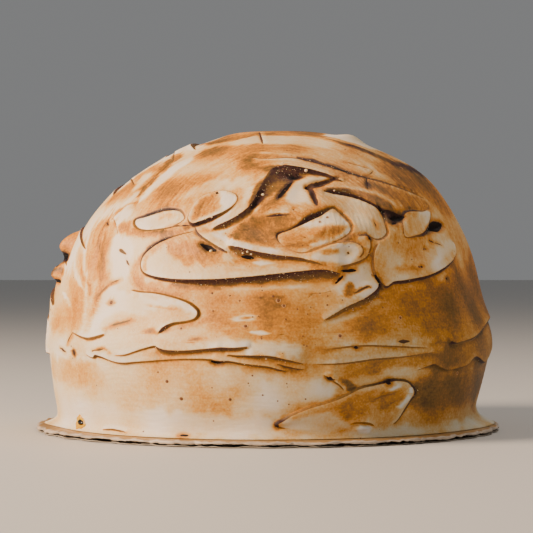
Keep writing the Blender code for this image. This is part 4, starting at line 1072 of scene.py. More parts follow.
def drawSmears(places, bearing):
    around = np.radians(bearing)
    outward = np.stack([np.sin(around), -np.cos(around), np.zeros(len(bearing))], axis=-1)
    for turn, spread, out, tall in smears:
        low = (1.0 - (places[:, 2] - footZ) / tall).clip(0.0, 1.0)
        share = np.exp(-(turnFrom(bearing, turn) / spread) ** 2) * low ** 2
        places += outward * (out * share)[:, None]


def shapeSkin():
    across, fall, faces = skinGrid()
    columns = across.shape[1]
    bearing = across.ravel()
    down = fall.ravel()
    base = onSkin(bearing, down)
    normal = skinNormal(bearing, down)
    samples = [Stroke(path) for path in strokes.values()]
    samples += [Stroke(path, closed=True) for path in pools.values()]
    lifts = [lift.get(name, 1.0) for name in list(strokes) + list(pools)]
    group = shareOut(samples)
    print("strokes to a group:", [group.count(index) for index in range(paintEdges["groups"])])

    relief, lean, nearest, edges = layStrokes(base, samples, lifts, group)
    mark = cutMarks(base, relief, nearest)
    streaks = grainAt(base, bearing, down, edges)
    relief = smoothBetween(relief, nearest, across.shape)
    relief += unevenness(base, bearing, down, streaks)
    aboveFoot = ((base[:, 2] - footZ) / footFade).clip(0.0, 1.0)[:, None]
    places = base + normal * relief[:, None] * aboveFoot + lean * aboveFoot
    pullPeaks(places, base, normal)
    drawSmears(places, bearing)
    places[-columns:, 2] = footZ

    toast = paintToast(base, bearing, down)
    chooseSpots(bearing, down, base, edges, toast)
    pole = onePlace(0.0, 0.0)[0] + (0, 0, relief[:columns].mean())
    places = np.concatenate([places, [pole], [[0.0, 0.0, footZ]]])
    extra = [columns // 2, len(base) - 1]              # the pole and foot copy a neighbour's values
    fields = {"toast": toast, "grain": streaks, "mark": mark}
    for which, edge in enumerate(edges):
        fields[f"edge{which}"] = edge
    fields = {name: np.concatenate([values, values[extra]]) for name, values in fields.items()}
    return places, faces, fields


scatter = dict(
    beads=700, beadSize=(0.10, 0.25),      # sugar beads on the dark faces, radius in mm
    specks=420, speckSize=(0.16, 0.50),    # burnt pores where the skin is toasted
    rings=36, ringSize=(0.45, 0.95),       # burst bubbles
    seed=23,
)
spots = {"beads": [], "specks": [], "rings": []}     # bearing, down in mm, radius in mm


def chooseSpots(bearing, down, base, edges, toast):
    # picks places by chance: beads on the wide burnt faces, specks and bubbles on toasted skin
    rng = np.random.default_rng(scatter["seed"])
    coarser = np.where(np.abs(bearing) < skinMesh["frontHalf"], 1.0, skinMesh["back"] / skinMesh["front"])
    area = np.hypot(base[:, 0], base[:, 1]) * coarser
    sugary = np.zeros(len(base))
    clear = np.ones(len(base), dtype=bool)
    for edge in edges:
        outward = -edge[:, 0]
        onFace = (outward > 0.3) & (outward < 1.05 * edge[:, 1]) & (edge[:, 1] > 1.5)
        sugary = np.maximum(sugary, onFace * edge[:, 2] * edge[:, 1].clip(0.0, 5.0))
        clear &= (edge[:, 2] < 0.1) | (np.abs(edge[:, 0]) > 1.5)
    onToast = clear * (0.04 + toast.clip(0.0, 0.6)) * (down > 0.02)
    for kind, weight in (("beads", sugary), ("specks", onToast), ("rings", onToast)):
        chance = weight * area
        least, most = scatter[kind[:-1] + "Size"]
        chosen = rng.choice(len(base), scatter[kind], replace=False, p=chance / chance.sum())
        size = least + (most - least) * rng.uniform(size=len(chosen)) ** 2.5
        turn = bearing[chosen] + rng.uniform(-0.2, 0.2, len(chosen))
        fall = down[chosen] / mm + rng.uniform(-0.3, 0.3, len(chosen))
        spots[kind] += zip(turn.tolist(), fall.tolist(), size.tolist())


def grainAt(base, bearing, down, edges):
    # The spatula went round a point on the front of the dome, and along the wall below it.
    # First number: mm across the streaks; the other two: the way round, as a circle's point.
    centre, outward = onePlace(grain["centreBearing"], grain["centreDown"])
    sideways = np.cross((0, 0, 1), outward)
    sideways /= np.linalg.norm(sideways)
    upward = np.cross(outward, sideways)
    offset = base - centre
    distance = np.linalg.norm(offset, axis=1) / mm
    angle = np.arctan2(offset @ upward, offset @ sideways)
    wall = smoothStep((down / mm - 152) / 16)
    around = np.radians(bearing)
    across = distance * (1 - wall) + down / mm * wall
    ringX = grain["ring"] * (np.cos(angle) * (1 - wall) + 2 * np.cos(around) * wall)
    ringY = grain["ring"] * (np.sin(angle) * (1 - wall) + 2 * np.sin(around) * wall)
    for edge in edges:
        # the streaks follow the strokes near their edges
        across += 0.8 * edge[:, 0] * np.exp(-(edge[:, 0] / 5.0) ** 2) * smoothStep(edge[:, 2] * 3)
    return np.stack([across, ringX, ringY], axis=-1)


def makeMeringue():
    places, faces, fields = shapeSkin()
    dense = bpy.data.meshes.new("torchedMeringue")
    dense.from_pydata(places.tolist(), [], faces)
    for name, values in fields.items():
        kind, slot = ("FLOAT", "value") if values.ndim == 1 else ("FLOAT_VECTOR", "vector")
        attribute = dense.attributes.new(name, kind, "POINT")
        attribute.data.foreach_set(slot, values.astype(np.float32).ravel())
    dense.shade_smooth()
    piece = addObject("torchedMeringue", dense)
    thin = piece.modifiers.new("thin out", "DECIMATE")
    thin.ratio = min(1.0, skinMesh["triangles"] / (2 * len(faces)))
    made = keepEvaluated(piece)
    print("meringue:", len(places), "vertices thinned to", len(made.polygons), "faces")
    return piece


meringue = makeMeringue()


def tornEdgeGroup():
    # from (distance into the sheet, face width, burn) to the face's burn, the glow beyond it
    # and the pale band that stays along the sheet
    tree = bpy.data.node_groups.new("tornEdge", "ShaderNodeTree")
    for name in ("Edge", "Wobble", "Speckle"):
        kind = "NodeSocketVector" if name == "Edge" else "NodeSocketFloat"
        tree.interface.new_socket(name, in_out="INPUT", socket_type=kind)
    for name in ("Burn", "Glow", "Pale"):
        tree.interface.new_socket(name, in_out="OUTPUT", socket_type="NodeSocketFloat")
    add = partial(addNode, tree)
    given = tree.nodes.new("NodeGroupInput")
    result = tree.nodes.new("NodeGroupOutput")
    inward, width, burn = add("SeparateXYZ", (given.outputs["Edge"],)).outputs
    outward = add("Math", (inward, -1.0), "MULTIPLY")
    stretch = add("Math", (given.outputs["Wobble"], 0.9, 1.0), "MULTIPLY_ADD")
    ragged = add("Math", (width, stretch), "MULTIPLY")
    far = add("Math", (ragged, 1.35, 0.45), "MULTIPLY_ADD")
    near = add("Math", (ragged, 0.50), "MULTIPLY")
    start = add("MapRange", (inward, 0.35, 0.0), **eased)
    stop = add("MapRange", (outward, far, near), **eased)
    face = add("Math", (start, stop), "MULTIPLY")
    shown = add("MapRange", (burn, 0.02, 0.3))
    shownFace = add("Math", (face, shown), "MULTIPLY")
    # a wide face is brown with sugar in it, and blackest along its upper edge
    char = add("Math", (burn, 4.0), "POWER")
    core = add("MapRange", (outward, 0.2, 2.8, 0.04, -0.10))
    level = add("Math", (burn, 0.30, 0.44), "MULTIPLY_ADD")
    for value, amount in ((char, 0.13), (core, 1.0), (given.outputs["Speckle"], 0.30)):
        level = add("Math", (value, amount, level), "MULTIPLY_ADD")
    burnt = add("Math", (shownFace, level), "MULTIPLY")
    glowStart = add("Math", (ragged, 1.9, 1.0), "MULTIPLY_ADD")
    glow = add("MapRange", (outward, glowStart, near), **eased)
    paleIn = add("MapRange", (inward, 0.0, 0.4))
    pale = add("MapRange", (inward, 3.5, 0.5), **eased)
    for factor in (burn, start):
        glow = add("Math", (glow, factor), "MULTIPLY")
    for factor in (paleIn, shown):
        pale = add("Math", (pale, factor), "MULTIPLY")
    for name, value in (("Burn", burnt), ("Glow", glow), ("Pale", pale)):
        tree.links.new(value.outputs[0], result.inputs[name])
    return tree


torched = dict(
    # level of toast and its colour: whipped egg white and sugar, then caramel, then char
    ramp=[(0.0, "eaddcc"), (0.14, "e3c798"), (0.28, "dba354"), (0.40, "ca801c"), (0.52, "945f1e"),
          (0.61, "76531f"), (0.69, "624322"), (0.76, "50342c"), (0.81, "4a302a"), (0.90, "2c1e1b"),
          (1.0, "120f0f")],
    glow=0.15, pale=0.08,                   # beyond a burnt face, and along its sheet
    streak=0.28, fineStreak=0.20,           # how much each pattern changes the level,
    blotch=0.16, mottle=0.20, stipple=0.28,
    blotchSize=0.013, mottleSize=0.0030,    # and how far apart its spots are
    speckleSize=0.0011, wobbleSize=0.005, poreSize=0.0009,
    markBurn=0.60, markLeast=0.36, markGlow=0.20,
    paintedShadeTint=(-0.24, -0.11, 0.08),            # painted shade: what the colour gains or loses low down and to the right
    roughness=0.55, burntRoughness=0.50, shine=0.45, burntShine=0.12,
    bump=0.30, bumpHeight=0.0006,
)


def addPatterns(add, where):
    # the noises that break up the toast and the surface, by name
    streaks = add("Attribute", attribute_name="grain").outputs["Vector"]
    patterns = {}
    for name, detail in (("wobble", 2.0), ("speckle", 2.0), ("blotch", 4.0), ("mottle", 3.0),
                         ("pore", 3.0)):
        patterns[name] = add("TexNoise", {
            "Vector": where, "Scale": 1 / torched[name + "Size"], "Detail": detail})
    for name, middle in (("wobble", 0.5), ("speckle", 0.55)):
        patterns[name] = add("Math", (patterns[name], middle), "SUBTRACT")
    for name, short, long, detail in (("streak", "short", "long", 3.0),
                                      ("fineStreak", "fineShort", "fineLong", 2.0)):
        stretch = (1 / grain[short], 1 / grain[long], 1 / grain[long])
        drawn = add("VectorMath", (streaks, stretch), "MULTIPLY")
        patterns[name] = add("TexNoise", {"Vector": drawn, "Scale": 1.0, "Detail": detail})
    return patterns


def unevenToast(add, where, patterns):
    toast = add("Attribute", attribute_name="toast").outputs["Fac"]
    # streaks and blotches show where there is some toast, and hardly on the cream
    toasty = add("MapRange", (toast, 0.05, 0.35, 0.2, 1.0))
    # the crown and shoulders were brushed, the belly and wall left smoother
    high = add("SeparateXYZ", (where,)).outputs["Z"]
    brushed = add("MapRange", (high, 0.080, 0.115, 0.3, 1.0))
    centred = {}
    for name in ("streak", "fineStreak", "blotch", "mottle"):
        centred[name] = add("Math", (patterns[name], torched[name], -0.5 * torched[name]),
                            "MULTIPLY_ADD")
    uneven = add("Math", (centred["streak"], centred["fineStreak"]), "ADD")
    uneven = add("Math", (uneven, brushed), "MULTIPLY")
    for value, amount in ((centred["blotch"], 1.0), (centred["mottle"], 1.0),
                          (patterns["speckle"], torched["stipple"])):
        uneven = add("Math", (value, amount, uneven), "MULTIPLY_ADD")
    return add("Math", (uneven, toasty, toast), "MULTIPLY_ADD")


def burnEdges(add, level, patterns):
    # the level with the edges' glow and pale bands, and how burnt the torn faces are
    edgeTree = tornEdgeGroup()
    burn = 0.0
    for which in range(paintEdges["groups"]):
        edge = add("Attribute", attribute_name=f"edge{which}").outputs["Vector"]
        torn = add("Group", {"Edge": edge, "Wobble": patterns["wobble"],
                             "Speckle": patterns["speckle"]}, node_tree=edgeTree)
        for name, amount in (("Glow", torched["glow"]), ("Pale", -torched["pale"])):
            level = add("Math", (torn.outputs[name], amount, level), "MULTIPLY_ADD")
        burn = add("Math", (burn, torn.outputs["Burn"]), "MAXIMUM")
    return level, burn


def burnMarks(add, level, burn, patterns):
    mark = add("Attribute", attribute_name="mark").outputs["Vector"]
    inside, black, _ = add("SeparateXYZ", (mark,)).outputs
    ragged = add("Math", (patterns["wobble"], 1.2, inside), "MULTIPLY_ADD")
    shown = add("MapRange", (ragged, -0.25, 0.2), **eased)
    around = add("MapRange", (ragged, -2.5, 0.0), **eased)
    around = add("Math", (around, black), "MULTIPLY")
    level = add("Math", (around, torched["markGlow"], level), "MULTIPLY_ADD")
    face = add("Math", (black, torched["markBurn"], torched["markLeast"]), "MULTIPLY_ADD")
    face = add("Math", (face, shown), "MULTIPLY")
    burn = add("Math", (burn, face), "MAXIMUM")
    return level, burn


def toastColourWithPaintedShade(add, where, level):
    ramp = add("ValToRGB", (level,))
    setRamp(ramp, torched["ramp"])
    # painted shade: low down, and more so to the right, the colour is made darker, less red and a little
    # bluer, for the shade that falls there
    x, _, z = add("SeparateXYZ", (where,)).outputs
    low = add("MapRange", (z, 0.045, 0.085, 1.0, 0.0))
    right = add("MapRange", (x, -0.01, 0.065, 0.3, 1.0))
    low = add("Math", (low, right), "MULTIPLY")
    paintedShadeTint = add("VectorMath", (low, torched["paintedShadeTint"], (1.0, 1.0, 1.0)), "MULTIPLY_ADD")
    return add("VectorMath", (ramp, paintedShadeTint), "MULTIPLY")


def surfaceBump(add, burn, patterns):
    # pores, deeper where the sugar burnt, and the spatula's streaks
    deeper = add("MapRange", (burn, 0.4, 0.8, 0.10, 0.8))
    height = add("Math", (patterns["pore"], deeper), "MULTIPLY")
    for name, amount in (("fineStreak", 0.35), ("streak", 0.4), ("mottle", 0.6)):
        height = add("Math", (patterns[name], amount, height), "MULTIPLY_ADD")
    return add("Bump", {"Strength": torched["bump"], "Height": height,
                        "Distance": torched["bumpHeight"]})


def torchedMeringueMaterial():
    # Italian meringue: matt satin foam, cream where the flame missed it, caramel where it dwelt,
    # glossy dark sugar along the torn edges
    material, tree, shader = newMaterial("torchedMeringue")
    add = partial(addNode, tree)
    where = add("TexCoord").outputs["Object"]
    patterns = addPatterns(add, where)
    level = unevenToast(add, where, patterns)
    level, burn = burnEdges(add, level, patterns)
    level, burn = burnMarks(add, level, burn, patterns)
    level = add("Math", (level, burn), "MAXIMUM", use_clamp=True)
    rough = add("MapRange", (level, 0.5, 0.9, torched["roughness"], torched["burntRoughness"]))
    shine = add("MapRange", (level, 0.5, 0.85, torched["shine"], torched["burntShine"]))
    for name, value in (("Base Color", toastColourWithPaintedShade(add, where, level)), ("Roughness", rough),
                        ("Specular IOR Level", shine), ("Normal", surfaceBump(add, burn, patterns))):
        tree.links.new(value.outputs[0], shader.inputs[name])
    shader.inputs["IOR"].default_value = 1.46
    shader.inputs["Subsurface Weight"].default_value = 0.15
    shader.inputs["Subsurface Radius"].default_value = (0.0030, 0.0018, 0.0010)
    shader.inputs["Subsurface Scale"].default_value = 1.0
    return material


meringue.data.materials.clear()
meringue.data.materials.append(torchedMeringueMaterial())
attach(meringue, "root")
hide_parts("meringue")

# Beads of syrup, burnt pores and burst bubbles lie on the finished skin.
skinTree = BVHTree.FromPolygons([vertex.co for vertex in meringue.data.vertices],
                                [tuple(face.vertices) for face in meringue.data.polygons])


def landOn(bearing, down, farOut=0.012):
    # the point of the finished skin over a place on the plain one, and the way it faces
    place, facing = (Vector(part) for part in onePlace(bearing, down))
    hit, normal, _, _ = skinTree.ray_cast(place + farOut * facing, -facing)
    if hit is None:
        hit, normal, _, _ = skinTree.find_nearest(place)
    return hit, normal if normal.dot(facing) > 0.0 else -normal


# The ones that stand out, listed one by one: bearing, down in mm, radius in mm.
spots["beads"] += [
    (9.8, 85, 0.9), (-4.2, 101.5, 0.8), (0.8, 80.8, 0.5), (-17.3, 118.2, 0.55), (-15.8, 136, 0.95),
    (-7, 137.8, 0.5), (-5.8, 137.3, 0.6), (-4.8, 138.3, 0.5), (19.3, 98.8, 0.5), (-0.5, 190.5, 0.5),
]
spots["rings"] += [
    (-43.7, 163, 1.5), (-5.3, 174.7, 1.2), (2.4, 161.7, 1.1), (3.7, 164.3, 0.9), (17.2, 179.5, 1.2),
    (33.7, 171, 0.9), (16.5, 182.5, 0.7), (-21, 176, 0.8),
]
spots["specks"] += [
    (-14, 158, 0.6), (-9.5, 159.2, 0.5), (-7, 161.8, 0.5), (-13.4, 167, 0.5), (-3.7, 170, 0.4),
    (-1.6, 156.5, 0.4), (-2, 160.3, 0.45), (1.1, 159.5, 0.7), (7, 166, 0.45), (10.3, 165, 0.4),
    (14.4, 164, 0.5), (12.7, 158, 0.4), (14.6, 159.5, 0.4), (-1.5, 181, 0.45), (8.3, 184, 0.4),
    (-3.7, 199.2, 0.5), (-4.7, 203, 0.4), (-1.3, 209, 0.45), (-9.2, 211.3, 0.8), (-21.5, 211.4, 1.0),
    (2.3, 212, 0.4), (5, 213.7, 0.4), (4.4, 203.2, 0.4), (9, 211, 0.45), (-13.5, 205.5, 0.4),
    (-27.3, 198.2, 0.5), (-25, 202.7, 0.9), (-48, 206.5, 0.4), (47.5, 134.2, 0.6), (42.3, 144.8, 0.7),
    (37, 131.5, 0.4),
]


def scatterTree(name, beads):
    # sets one small shape on every vertex: a bead, or a ring for a burst bubble
    tree = bpy.data.node_groups.new(name, "GeometryNodeTree")
    for label, way, kind in (("Spots", "INPUT", "Geometry"), ("Flatness", "INPUT", "Float"),
                             ("Material", "INPUT", "Material"), ("Pieces", "OUTPUT", "Geometry")):
        tree.interface.new_socket(label, in_out=way, socket_type="NodeSocket" + kind)
    add = partial(addNode, tree)
    given = tree.nodes.new("NodeGroupInput")
    result = tree.nodes.new("NodeGroupOutput")
    if beads:
        shape = add("GeometryNodeMeshIcoSphere", {"Radius": 1.0, "Subdivisions": 2})
    else:
        ring = add("GeometryNodeCurvePrimitiveCircle", {"Resolution": 14, "Radius": 1.0})
        cord = add("GeometryNodeCurvePrimitiveCircle", {"Resolution": 6, "Radius": 0.24})
        shape = add("GeometryNodeCurveToMesh", {"Curve": ring, "Profile Curve": cord})
    size = add("GeometryNodeInputNamedAttribute", {"Name": "size"}, data_type="FLOAT")
    facing = add("GeometryNodeInputNamedAttribute", {"Name": "facing"}, data_type="FLOAT_VECTOR")
    thick = add("Math", (size, given.outputs["Flatness"]), "MULTIPLY")
    scale = add("CombineXYZ", (size, size, thick))
    turn = add("FunctionNodeAlignRotationToVector", {"Vector": facing}, axis="Z")
    placed = add("GeometryNodeInstanceOnPoints", {"Points": given.outputs["Spots"],
                                                  "Instance": shape, "Rotation": turn, "Scale": scale})
    real = add("GeometryNodeRealizeInstances", (placed,))
    smooth = add("GeometryNodeSetShadeSmooth", (real,))
    coloured = add("GeometryNodeSetMaterial",
                   {"Geometry": smooth, "Material": given.outputs["Material"]})
    tree.links.new(coloured.outputs[0], result.inputs[0])
    return tree


def scatterOnSkin(name, places, tree, flatness, sunk, material):
    landed = [landOn(bearing, down) for bearing, down, _ in places]
    points = bpy.data.meshes.new(name)
    points.from_pydata([hit - sunk * size * mm * normal
                        for (hit, normal), (_, _, size) in zip(landed, places)], [], [])
    sizes = points.attributes.new("size", "FLOAT", "POINT")
    sizes.data.foreach_set("value", [size * mm for _, _, size in places])
    facings = points.attributes.new("facing", "FLOAT_VECTOR", "POINT")
    facings.data.foreach_set("vector", [part for _, normal in landed for part in normal])
    piece = addObject(name, points)
    maker = piece.modifiers.new("scatter", "NODES")
    maker.node_group = tree
    sockets = {item.name: item.identifier for item in tree.interface.items_tree}
    maker[sockets["Flatness"]] = flatness
    maker[sockets["Material"]] = material
    made = keepEvaluated(piece)
    for extra in ("size", "facing"):
        if extra in made.attributes:
            made.attributes.remove(made.attributes[extra])
    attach(piece, "root")
    print(name + ":", len(places), "places,", len(made.polygons), "faces")
    return piece


def plainMaterial(name, colour, roughness, **sockets):
    material, tree, shader = newMaterial(name)
    shader.inputs["Base Color"].default_value = hexColour(colour)
    shader.inputs["Roughness"].default_value = roughness
    for socket, value in sockets.items():
        shader.inputs[socket.replace("_", " ")].default_value = value
    return material


# beads of syrup that the meringue weeps: clear, wet, and pale, the paleness partly their own amber and
# partly a painted glint
syrup = plainMaterial("syrupBeadPaintedGlint", "efd2a4", 0.18, IOR=1.49, Subsurface_Weight=0.3,
                      Subsurface_Scale=0.001)
# pores whose rims the flame caught, and the larger bubbles' bottoms, partly painted shade: matt dark brown
scorchedAndShaded = plainMaterial("scorchedPore", "6e4220", 0.6)
# the thin skin left round a burst bubble: caramel
caramelRim = plainMaterial("caramelRim", "c9935a", 0.35, IOR=1.46)

# the bottoms of the larger bubbles are darker: partly scorched sugar, partly painted shade of the burst
# bubble's hollow
spots["specks"] += [(bearing, down, 0.7 * size) for bearing, down, size in spots["rings"]
                    if size > 0.7]

beadTree = scatterTree("beadScatter", beads=True)
ringTree = scatterTree("ringScatter", beads=False)
sugarBeads = scatterOnSkin("sugarBeads", spots["beads"], beadTree, 0.75, -0.2, syrup)
burntPoresAndShadedPits = scatterOnSkin("burntPoresAndShadedPits", spots["specks"], beadTree, 0.25, 0.0, scorchedAndShaded)
burstBubbles = scatterOnSkin("burstBubbles", spots["rings"], ringTree, 0.8, 0.1, caramelRim)


# A smear of passion fruit curd with one seed in it, at the foot on the left.
curd = dict(bearing=-58.0, down=227.4, halfWide=5.2, halfTall=3.9, rings=9, steps=36,
            thick=0.8, edge=0.05, sunk=0.3,             # mm over the skin, and into it
            lobes=0.12, ragged=0.07)                    # how far its outline strays
seed = dict(bearing=-57.2, down=227.2, halfLong=2.9, halfWide=1.5, halfThick=1.1, lean=-8.0,
            stands=0.5, point=0.22)                     # mm over the skin; how narrow one end is


def makeCurd():
    perDegree = mmPerDegree(curd["down"])
    top = []
    under = []
    for ring in range(curd["rings"] + 1):
        share = ring / curd["rings"]
        full = math.sqrt(max(0.0, 1.0 - share ** 3))
        top.append([])
        under.append([])
        for step in range(curd["steps"]):
            angle = math.tau * step / curd["steps"]
            reach = 1.0 + curd["lobes"] * math.sin(3 * angle + 0.7)
            reach = share * (reach + curd["ragged"] * math.sin(7 * angle))
            aside = reach * curd["halfWide"] * math.cos(angle)
            lower = reach * curd["halfTall"] * math.sin(angle)
            hit, normal = landOn(curd["bearing"] + aside / perDegree, curd["down"] + lower)
            top[-1].append(hit + normal * (curd["thick"] * full - curd["edge"]) * mm)
            under[-1].append(hit - normal * curd["sunk"] * mm)
    return ringSolid("passionCurd", top[0][0], top[1:] + under[:0:-1], under[0][0])


def meshPiece(name, places, faces):
    mesh = bpy.data.meshes.new(name)
    mesh.from_pydata([tuple(place) for place in places], [], faces)
    piece = addObject(name, mesh)
    work = bmesh.new()
    work.from_mesh(mesh)
    bmesh.ops.recalc_face_normals(work, faces=work.faces)
    work.to_mesh(mesh)
    work.free()
    mesh.shade_smooth()
    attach(piece, "root")
    print(name + ":", len(faces), "faces")
    return piece


def ringSolid(name, first, rings, last):
    # a closed skin from one point through rings of places to another point
    count = len(rings[0])
    places = [first] + [place for ring in rings for place in ring] + [last]
    outer = 1 + (len(rings) - 1) * count
    faces = []
    for step in range(count):
        beside = (step + 1) % count
        faces.append((0, 1 + step, 1 + beside))
        faces.append((len(places) - 1, outer + beside, outer + step))
        for start in range(1, outer, count):
            faces.append((start + step, start + count + step, start + count + beside, start + beside))
    return meshPiece(name, places, faces)


def makeSeed():
    hit, normal = landOn(seed["bearing"], seed["down"])
    aside = Vector((0, 0, 1)).cross(normal).normalized()
    upward = normal.cross(aside)
    lean = math.radians(seed["lean"])
    long = aside * math.cos(lean) + upward * math.sin(lean)
    wide = normal.cross(long)
    work = bmesh.new()
    bmesh.ops.create_uvsphere(work, u_segments=24, v_segments=16, radius=1.0)
    places = []
    for vertex in work.verts:
        x, y, z = vertex.co
        narrow = 1.0 - seed["point"] * x
        places.append(hit + mm * (long * x * seed["halfLong"] + wide * y * seed["halfWide"] * narrow
                                  + normal * (seed["stands"] + z * seed["halfThick"])))
    work.verts.index_update()
    faces = [tuple(corner.index for corner in face.verts) for face in work.faces]
    work.free()
    return meshPiece("passionSeed", places, faces)


passionCurd = makeCurd()
# passion fruit curd: egg, butter and juice set to a smooth deep yellow, with a wet shine
passionCurd.data.materials.append(plainMaterial("passionCurd", "cf9c00", 0.3, IOR=1.42,
                                                Subsurface_Weight=0.3, Subsurface_Scale=0.001))
passionSeed = makeSeed()
# a passion fruit's seed: hard, almost black and glossy
passionSeed.data.materials.append(plainMaterial("passionSeed", "12110f", 0.2))

# The board: scalloped paper over and under a corrugated sheet.
paper = dict(
    scallops=32, scallopDepth=0.0019,  # as the solid's
    steps=28,                         # points to a scallop
    fray=0.00035,                     # in and out along the edge
    foldLeast=0.0001, foldMost=0.0011,  # how far the top paper's edge is turned down,
    foldLowest=0.0024,                # and the most below its underside
    buckle=0.00030,                   # up and down near the edge
    curl=0.0005,                      # how far the bottom paper's edge lifts
)


topSection = [
    # How far in from the edge, on the upper side (1) or not, height over it, share of the buckle
    # and of the fold, and wear: from the middle over the folded edge and back underneath.
    (0.020, 1, 0.0, 0, 0, 0.0), (0.0075, 1, 0.0, 0, 0, 0.0), (0.0035, 1, 0.0, 0.4, 0, 0.1),
    (0.0014, 1, -0.0001, 0.9, 0, 0.45), (0.0004, 1, -0.00025, 1.0, 0, 0.8),
    (0.0, 1, -0.0006, 1.0, 0.3, 1.0), (-0.0001, 1, -0.0008, 1.0, 1.0, 1.0),
    (0.0003, 1, -0.0009, 1.0, 1.0, 1.0), (0.0006, 1, -0.0006, 0.8, 0.5, 0.9),
    (0.0012, 0, 0.0, 0.3, 0, 0.2), (0.004, 0, 0.0, 0, 0, 0.0),
]
bottomSection = [
    # the same with one curl in place of the buckle and the fold
    (0.02, 1, 0.0, 0, 0.3), (0.002, 1, 0.0, 0.4, 0.6), (0.0002, 1, 0.0, 1, 1.0),
    (0.0, 1, -0.0002, 1, 1.0), (0.0003, 0, 0.0001, 0.6, 1.0), (0.003, 0, 0.0, 0, 0.5),
]


def boardOutline(angle):
    lobe = np.abs(np.cos(0.5 * paper["scallops"] * angle)) ** 0.7
    return (boardHigh.x - boardLow.x) / 2 - paper["scallopDepth"] * (1.0 - lobe)


def aroundBoard(shift):
    # the angles of an edge's points, and the points on a circle of one metre
    count = paper["scallops"] * paper["steps"]
    angle = math.tau * (np.arange(count) + shift) / count
    return angle, np.stack([np.cos(angle), np.sin(angle), np.zeros(count)], axis=-1)


def paperSheet(name, circle, outer, section):
    # one sheet: each row of its section is how far in from the edge, its height and its wear
    rings = []
    for inset, height, _ in section:
        ring = circle * (outer - inset)[:, None]
        ring[:, 2] = height
        rings.append(ring)
    piece = ringSolid(name, (0.0, 0.0, rings[0][0][2]), rings, (0.0, 0.0, rings[-1][0][2]))
    wear = np.array([row[2] for row in section])
    paint = piece.data.attributes.new("rim", "FLOAT", "POINT")
    paint.data.foreach_set("value", [wear[0], *np.repeat(wear, len(circle)).tolist(), wear[-1]])
    return piece


def makeTopPaper():
    low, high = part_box("board_top_liner")
    angle, circle = aroundBoard(0.0)
    rng = np.random.default_rng(5)
    tight = waves(circle, rng, 0.05)
    tighter = waves(circle, rng, 0.02)
    slow = waves(circle, rng, 0.16)
    outer = boardOutline(angle) - paper["fray"] * (1.3 + (0.5 * tight + 0.3 * tighter).clip(-1.2, 1.2))
    turned = smoothStep(0.5 + 0.35 * slow + 0.3 * tight + 0.2 * tighter)
    fold = paper["foldLeast"] + (paper["foldMost"] - paper["foldLeast"]) * turned
    buckle = paper["buckle"] * (0.7 * tight + 0.5 * tighter)
    section = []
    for inset, upper, lift, bend, folded, wear in topSection:
        height = (high.z if upper else low.z) + lift + bend * buckle - folded * fold
        section.append((inset, height.clip(low.z - paper["foldLowest"], None), wear))
    return paperSheet("topPaper", circle, outer, section)


def makeBottomPaper():
    low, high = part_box("board_bottom_liner")
    angle, circle = aroundBoard(0.5)
    rng = np.random.default_rng(6)
    outer = boardOutline(angle) - paper["fray"] * (2.0 + (0.8 * waves(circle, rng, 0.03)).clip(-2, 2))
    curl = paper["curl"] * smoothStep(0.5 + 0.5 * waves(circle, rng, 0.05))
    section = [(inset, (high.z if upper else low.z) + lift + bend * curl, wear)
               for inset, upper, lift, bend, wear in bottomSection]
    return paperSheet("bottomPaper", circle, outer, section)


def paperMaterial(name, face, worn, roughness, metallic):
    # laminated paper: smooth faces, stained here and there, worn to pale fibres along the edge
    material, tree, shader = newMaterial(name)
    add = partial(addNode, tree)
    where = add("TexCoord").outputs["Object"]
    rim = add("Attribute", attribute_name="rim").outputs["Fac"]
    fibres, stain = (add("TexNoise", {"Vector": where, "Scale": 1 / size, "Detail": detail})
                     for size, detail in ((0.0025, 4.0), (0.009, 3.0)))
    torn = add("Math", (fibres, 1.4, -0.7), "MULTIPLY_ADD")
    torn = add("Math", (rim, torn), "ADD")
    torn = add("MapRange", (torn, 0.45, 0.75))
    colour = add("Mix", {0: torn, 6: hexColour(face), 7: hexColour(worn)}, data_type="RGBA")
    stain = add("MapRange", (stain, 0.35, 0.7, 1.0, 0.6))
    dulled = add("Mix", {0: 1.0, 6: colour.outputs[2], 7: stain}, data_type="RGBA",
                 blend_type="MULTIPLY")
    shine = add("MapRange", (torn, 0.0, 1.0, metallic, 0.0))
    creases = add("Bump", {"Strength": 0.4, "Distance": 0.0003, "Height": fibres})
    tree.links.new(dulled.outputs[2], shader.inputs["Base Color"])
    tree.links.new(shine.outputs[0], shader.inputs["Metallic"])
    tree.links.new(creases.outputs[0], shader.inputs["Normal"])
    shader.inputs["Roughness"].default_value = roughness
    return material


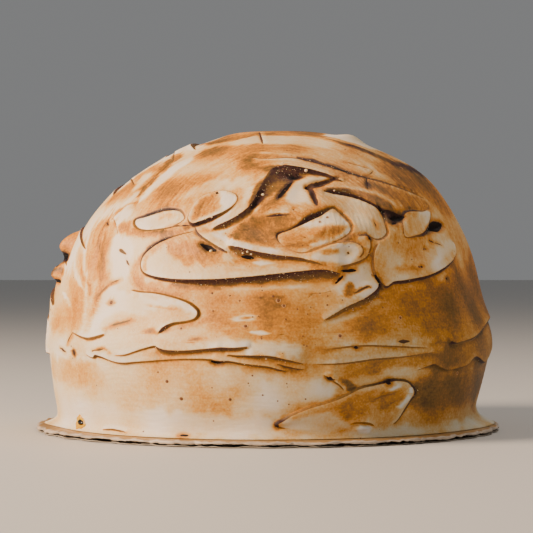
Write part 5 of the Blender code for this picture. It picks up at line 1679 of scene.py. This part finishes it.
topPaper = makeTopPaper()
topPaper.data.materials.append(paperMaterial("goldBoardPaper", "b98f55", "c3b19c", 0.45, 0.3))
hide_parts("board_top_liner")
bottomPaper = makeBottomPaper()
bottomPaper.data.materials.append(paperMaterial("whiteBoardPaper", "8a7c6a", "a89c8c", 0.8, 0.0))
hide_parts("board_bottom_liner")
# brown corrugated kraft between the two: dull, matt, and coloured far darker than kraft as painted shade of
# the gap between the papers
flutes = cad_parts["board_flutes"]
flutes.data.materials.clear()
flutes.data.materials.append(plainMaterial("flutingPaperPaintedShade", "3a2c1e", 0.9))


lights = dict(
    # place, size across in metres, power in watts, colour
    key=((-1.50, -0.62, 0.90), 0.8, 76.0, "ffe2c4"),
    fill=((0.7, -1.6, 0.7), 1.2, 3.6, "fff0dc"),
    top=((0.5, 0.1, 1.6), 0.8, 9.0, "fff0e0"),
)
studio = dict(floor="c9c6c2", halfFloor=12.0, air="d9dadb", airStrength=0.30, aim=(0.0, 0.0, 0.08))


def addLight(name, place, size, power, colour):
    lamp = bpy.data.lights.new(name, "AREA")
    lamp.shape = "DISK"
    lamp.size = size
    lamp.energy = power
    lamp.color = hexColour(colour)[:3]
    holder = addObject(name, lamp)
    holder.location = place
    toward = Vector(studio["aim"]) - Vector(place)
    holder.rotation_euler = toward.to_track_quat("-Z", "Y").to_euler()


def setStage():
    half = studio["halfFloor"]
    mesh = bpy.data.meshes.new("floor")
    mesh.from_pydata([(-half, -half, 0), (half, -half, 0), (half, half, 0), (-half, half, 0)], [],
                     [(0, 1, 2, 3)])
    floor = addObject("floor", mesh)
    mesh.materials.append(plainMaterial("plainFloor", studio["floor"], 0.6))
    world = bpy.data.worlds.new("studio")
    world.use_nodes = True
    air = world.node_tree.nodes["Background"]
    air.inputs["Color"].default_value = hexColour(studio["air"])
    air.inputs["Strength"].default_value = studio["airStrength"]
    bpy.context.scene.world = world
    for name, (place, size, power, colour) in lights.items():
        addLight(name, place, size, power, colour)
    print("stage:", len(lights), "lights")


setStage()
camera = addObject("camera", bpy.data.cameras.new("camera"))
camera.location = (-0.0008, -1.100, 0.0888)
camera.rotation_euler = (math.radians(90.0), 0.0, 0.0)
camera.data.lens = 135.0
camera.data.sensor_width = 36.0
bpy.context.scene.camera = camera
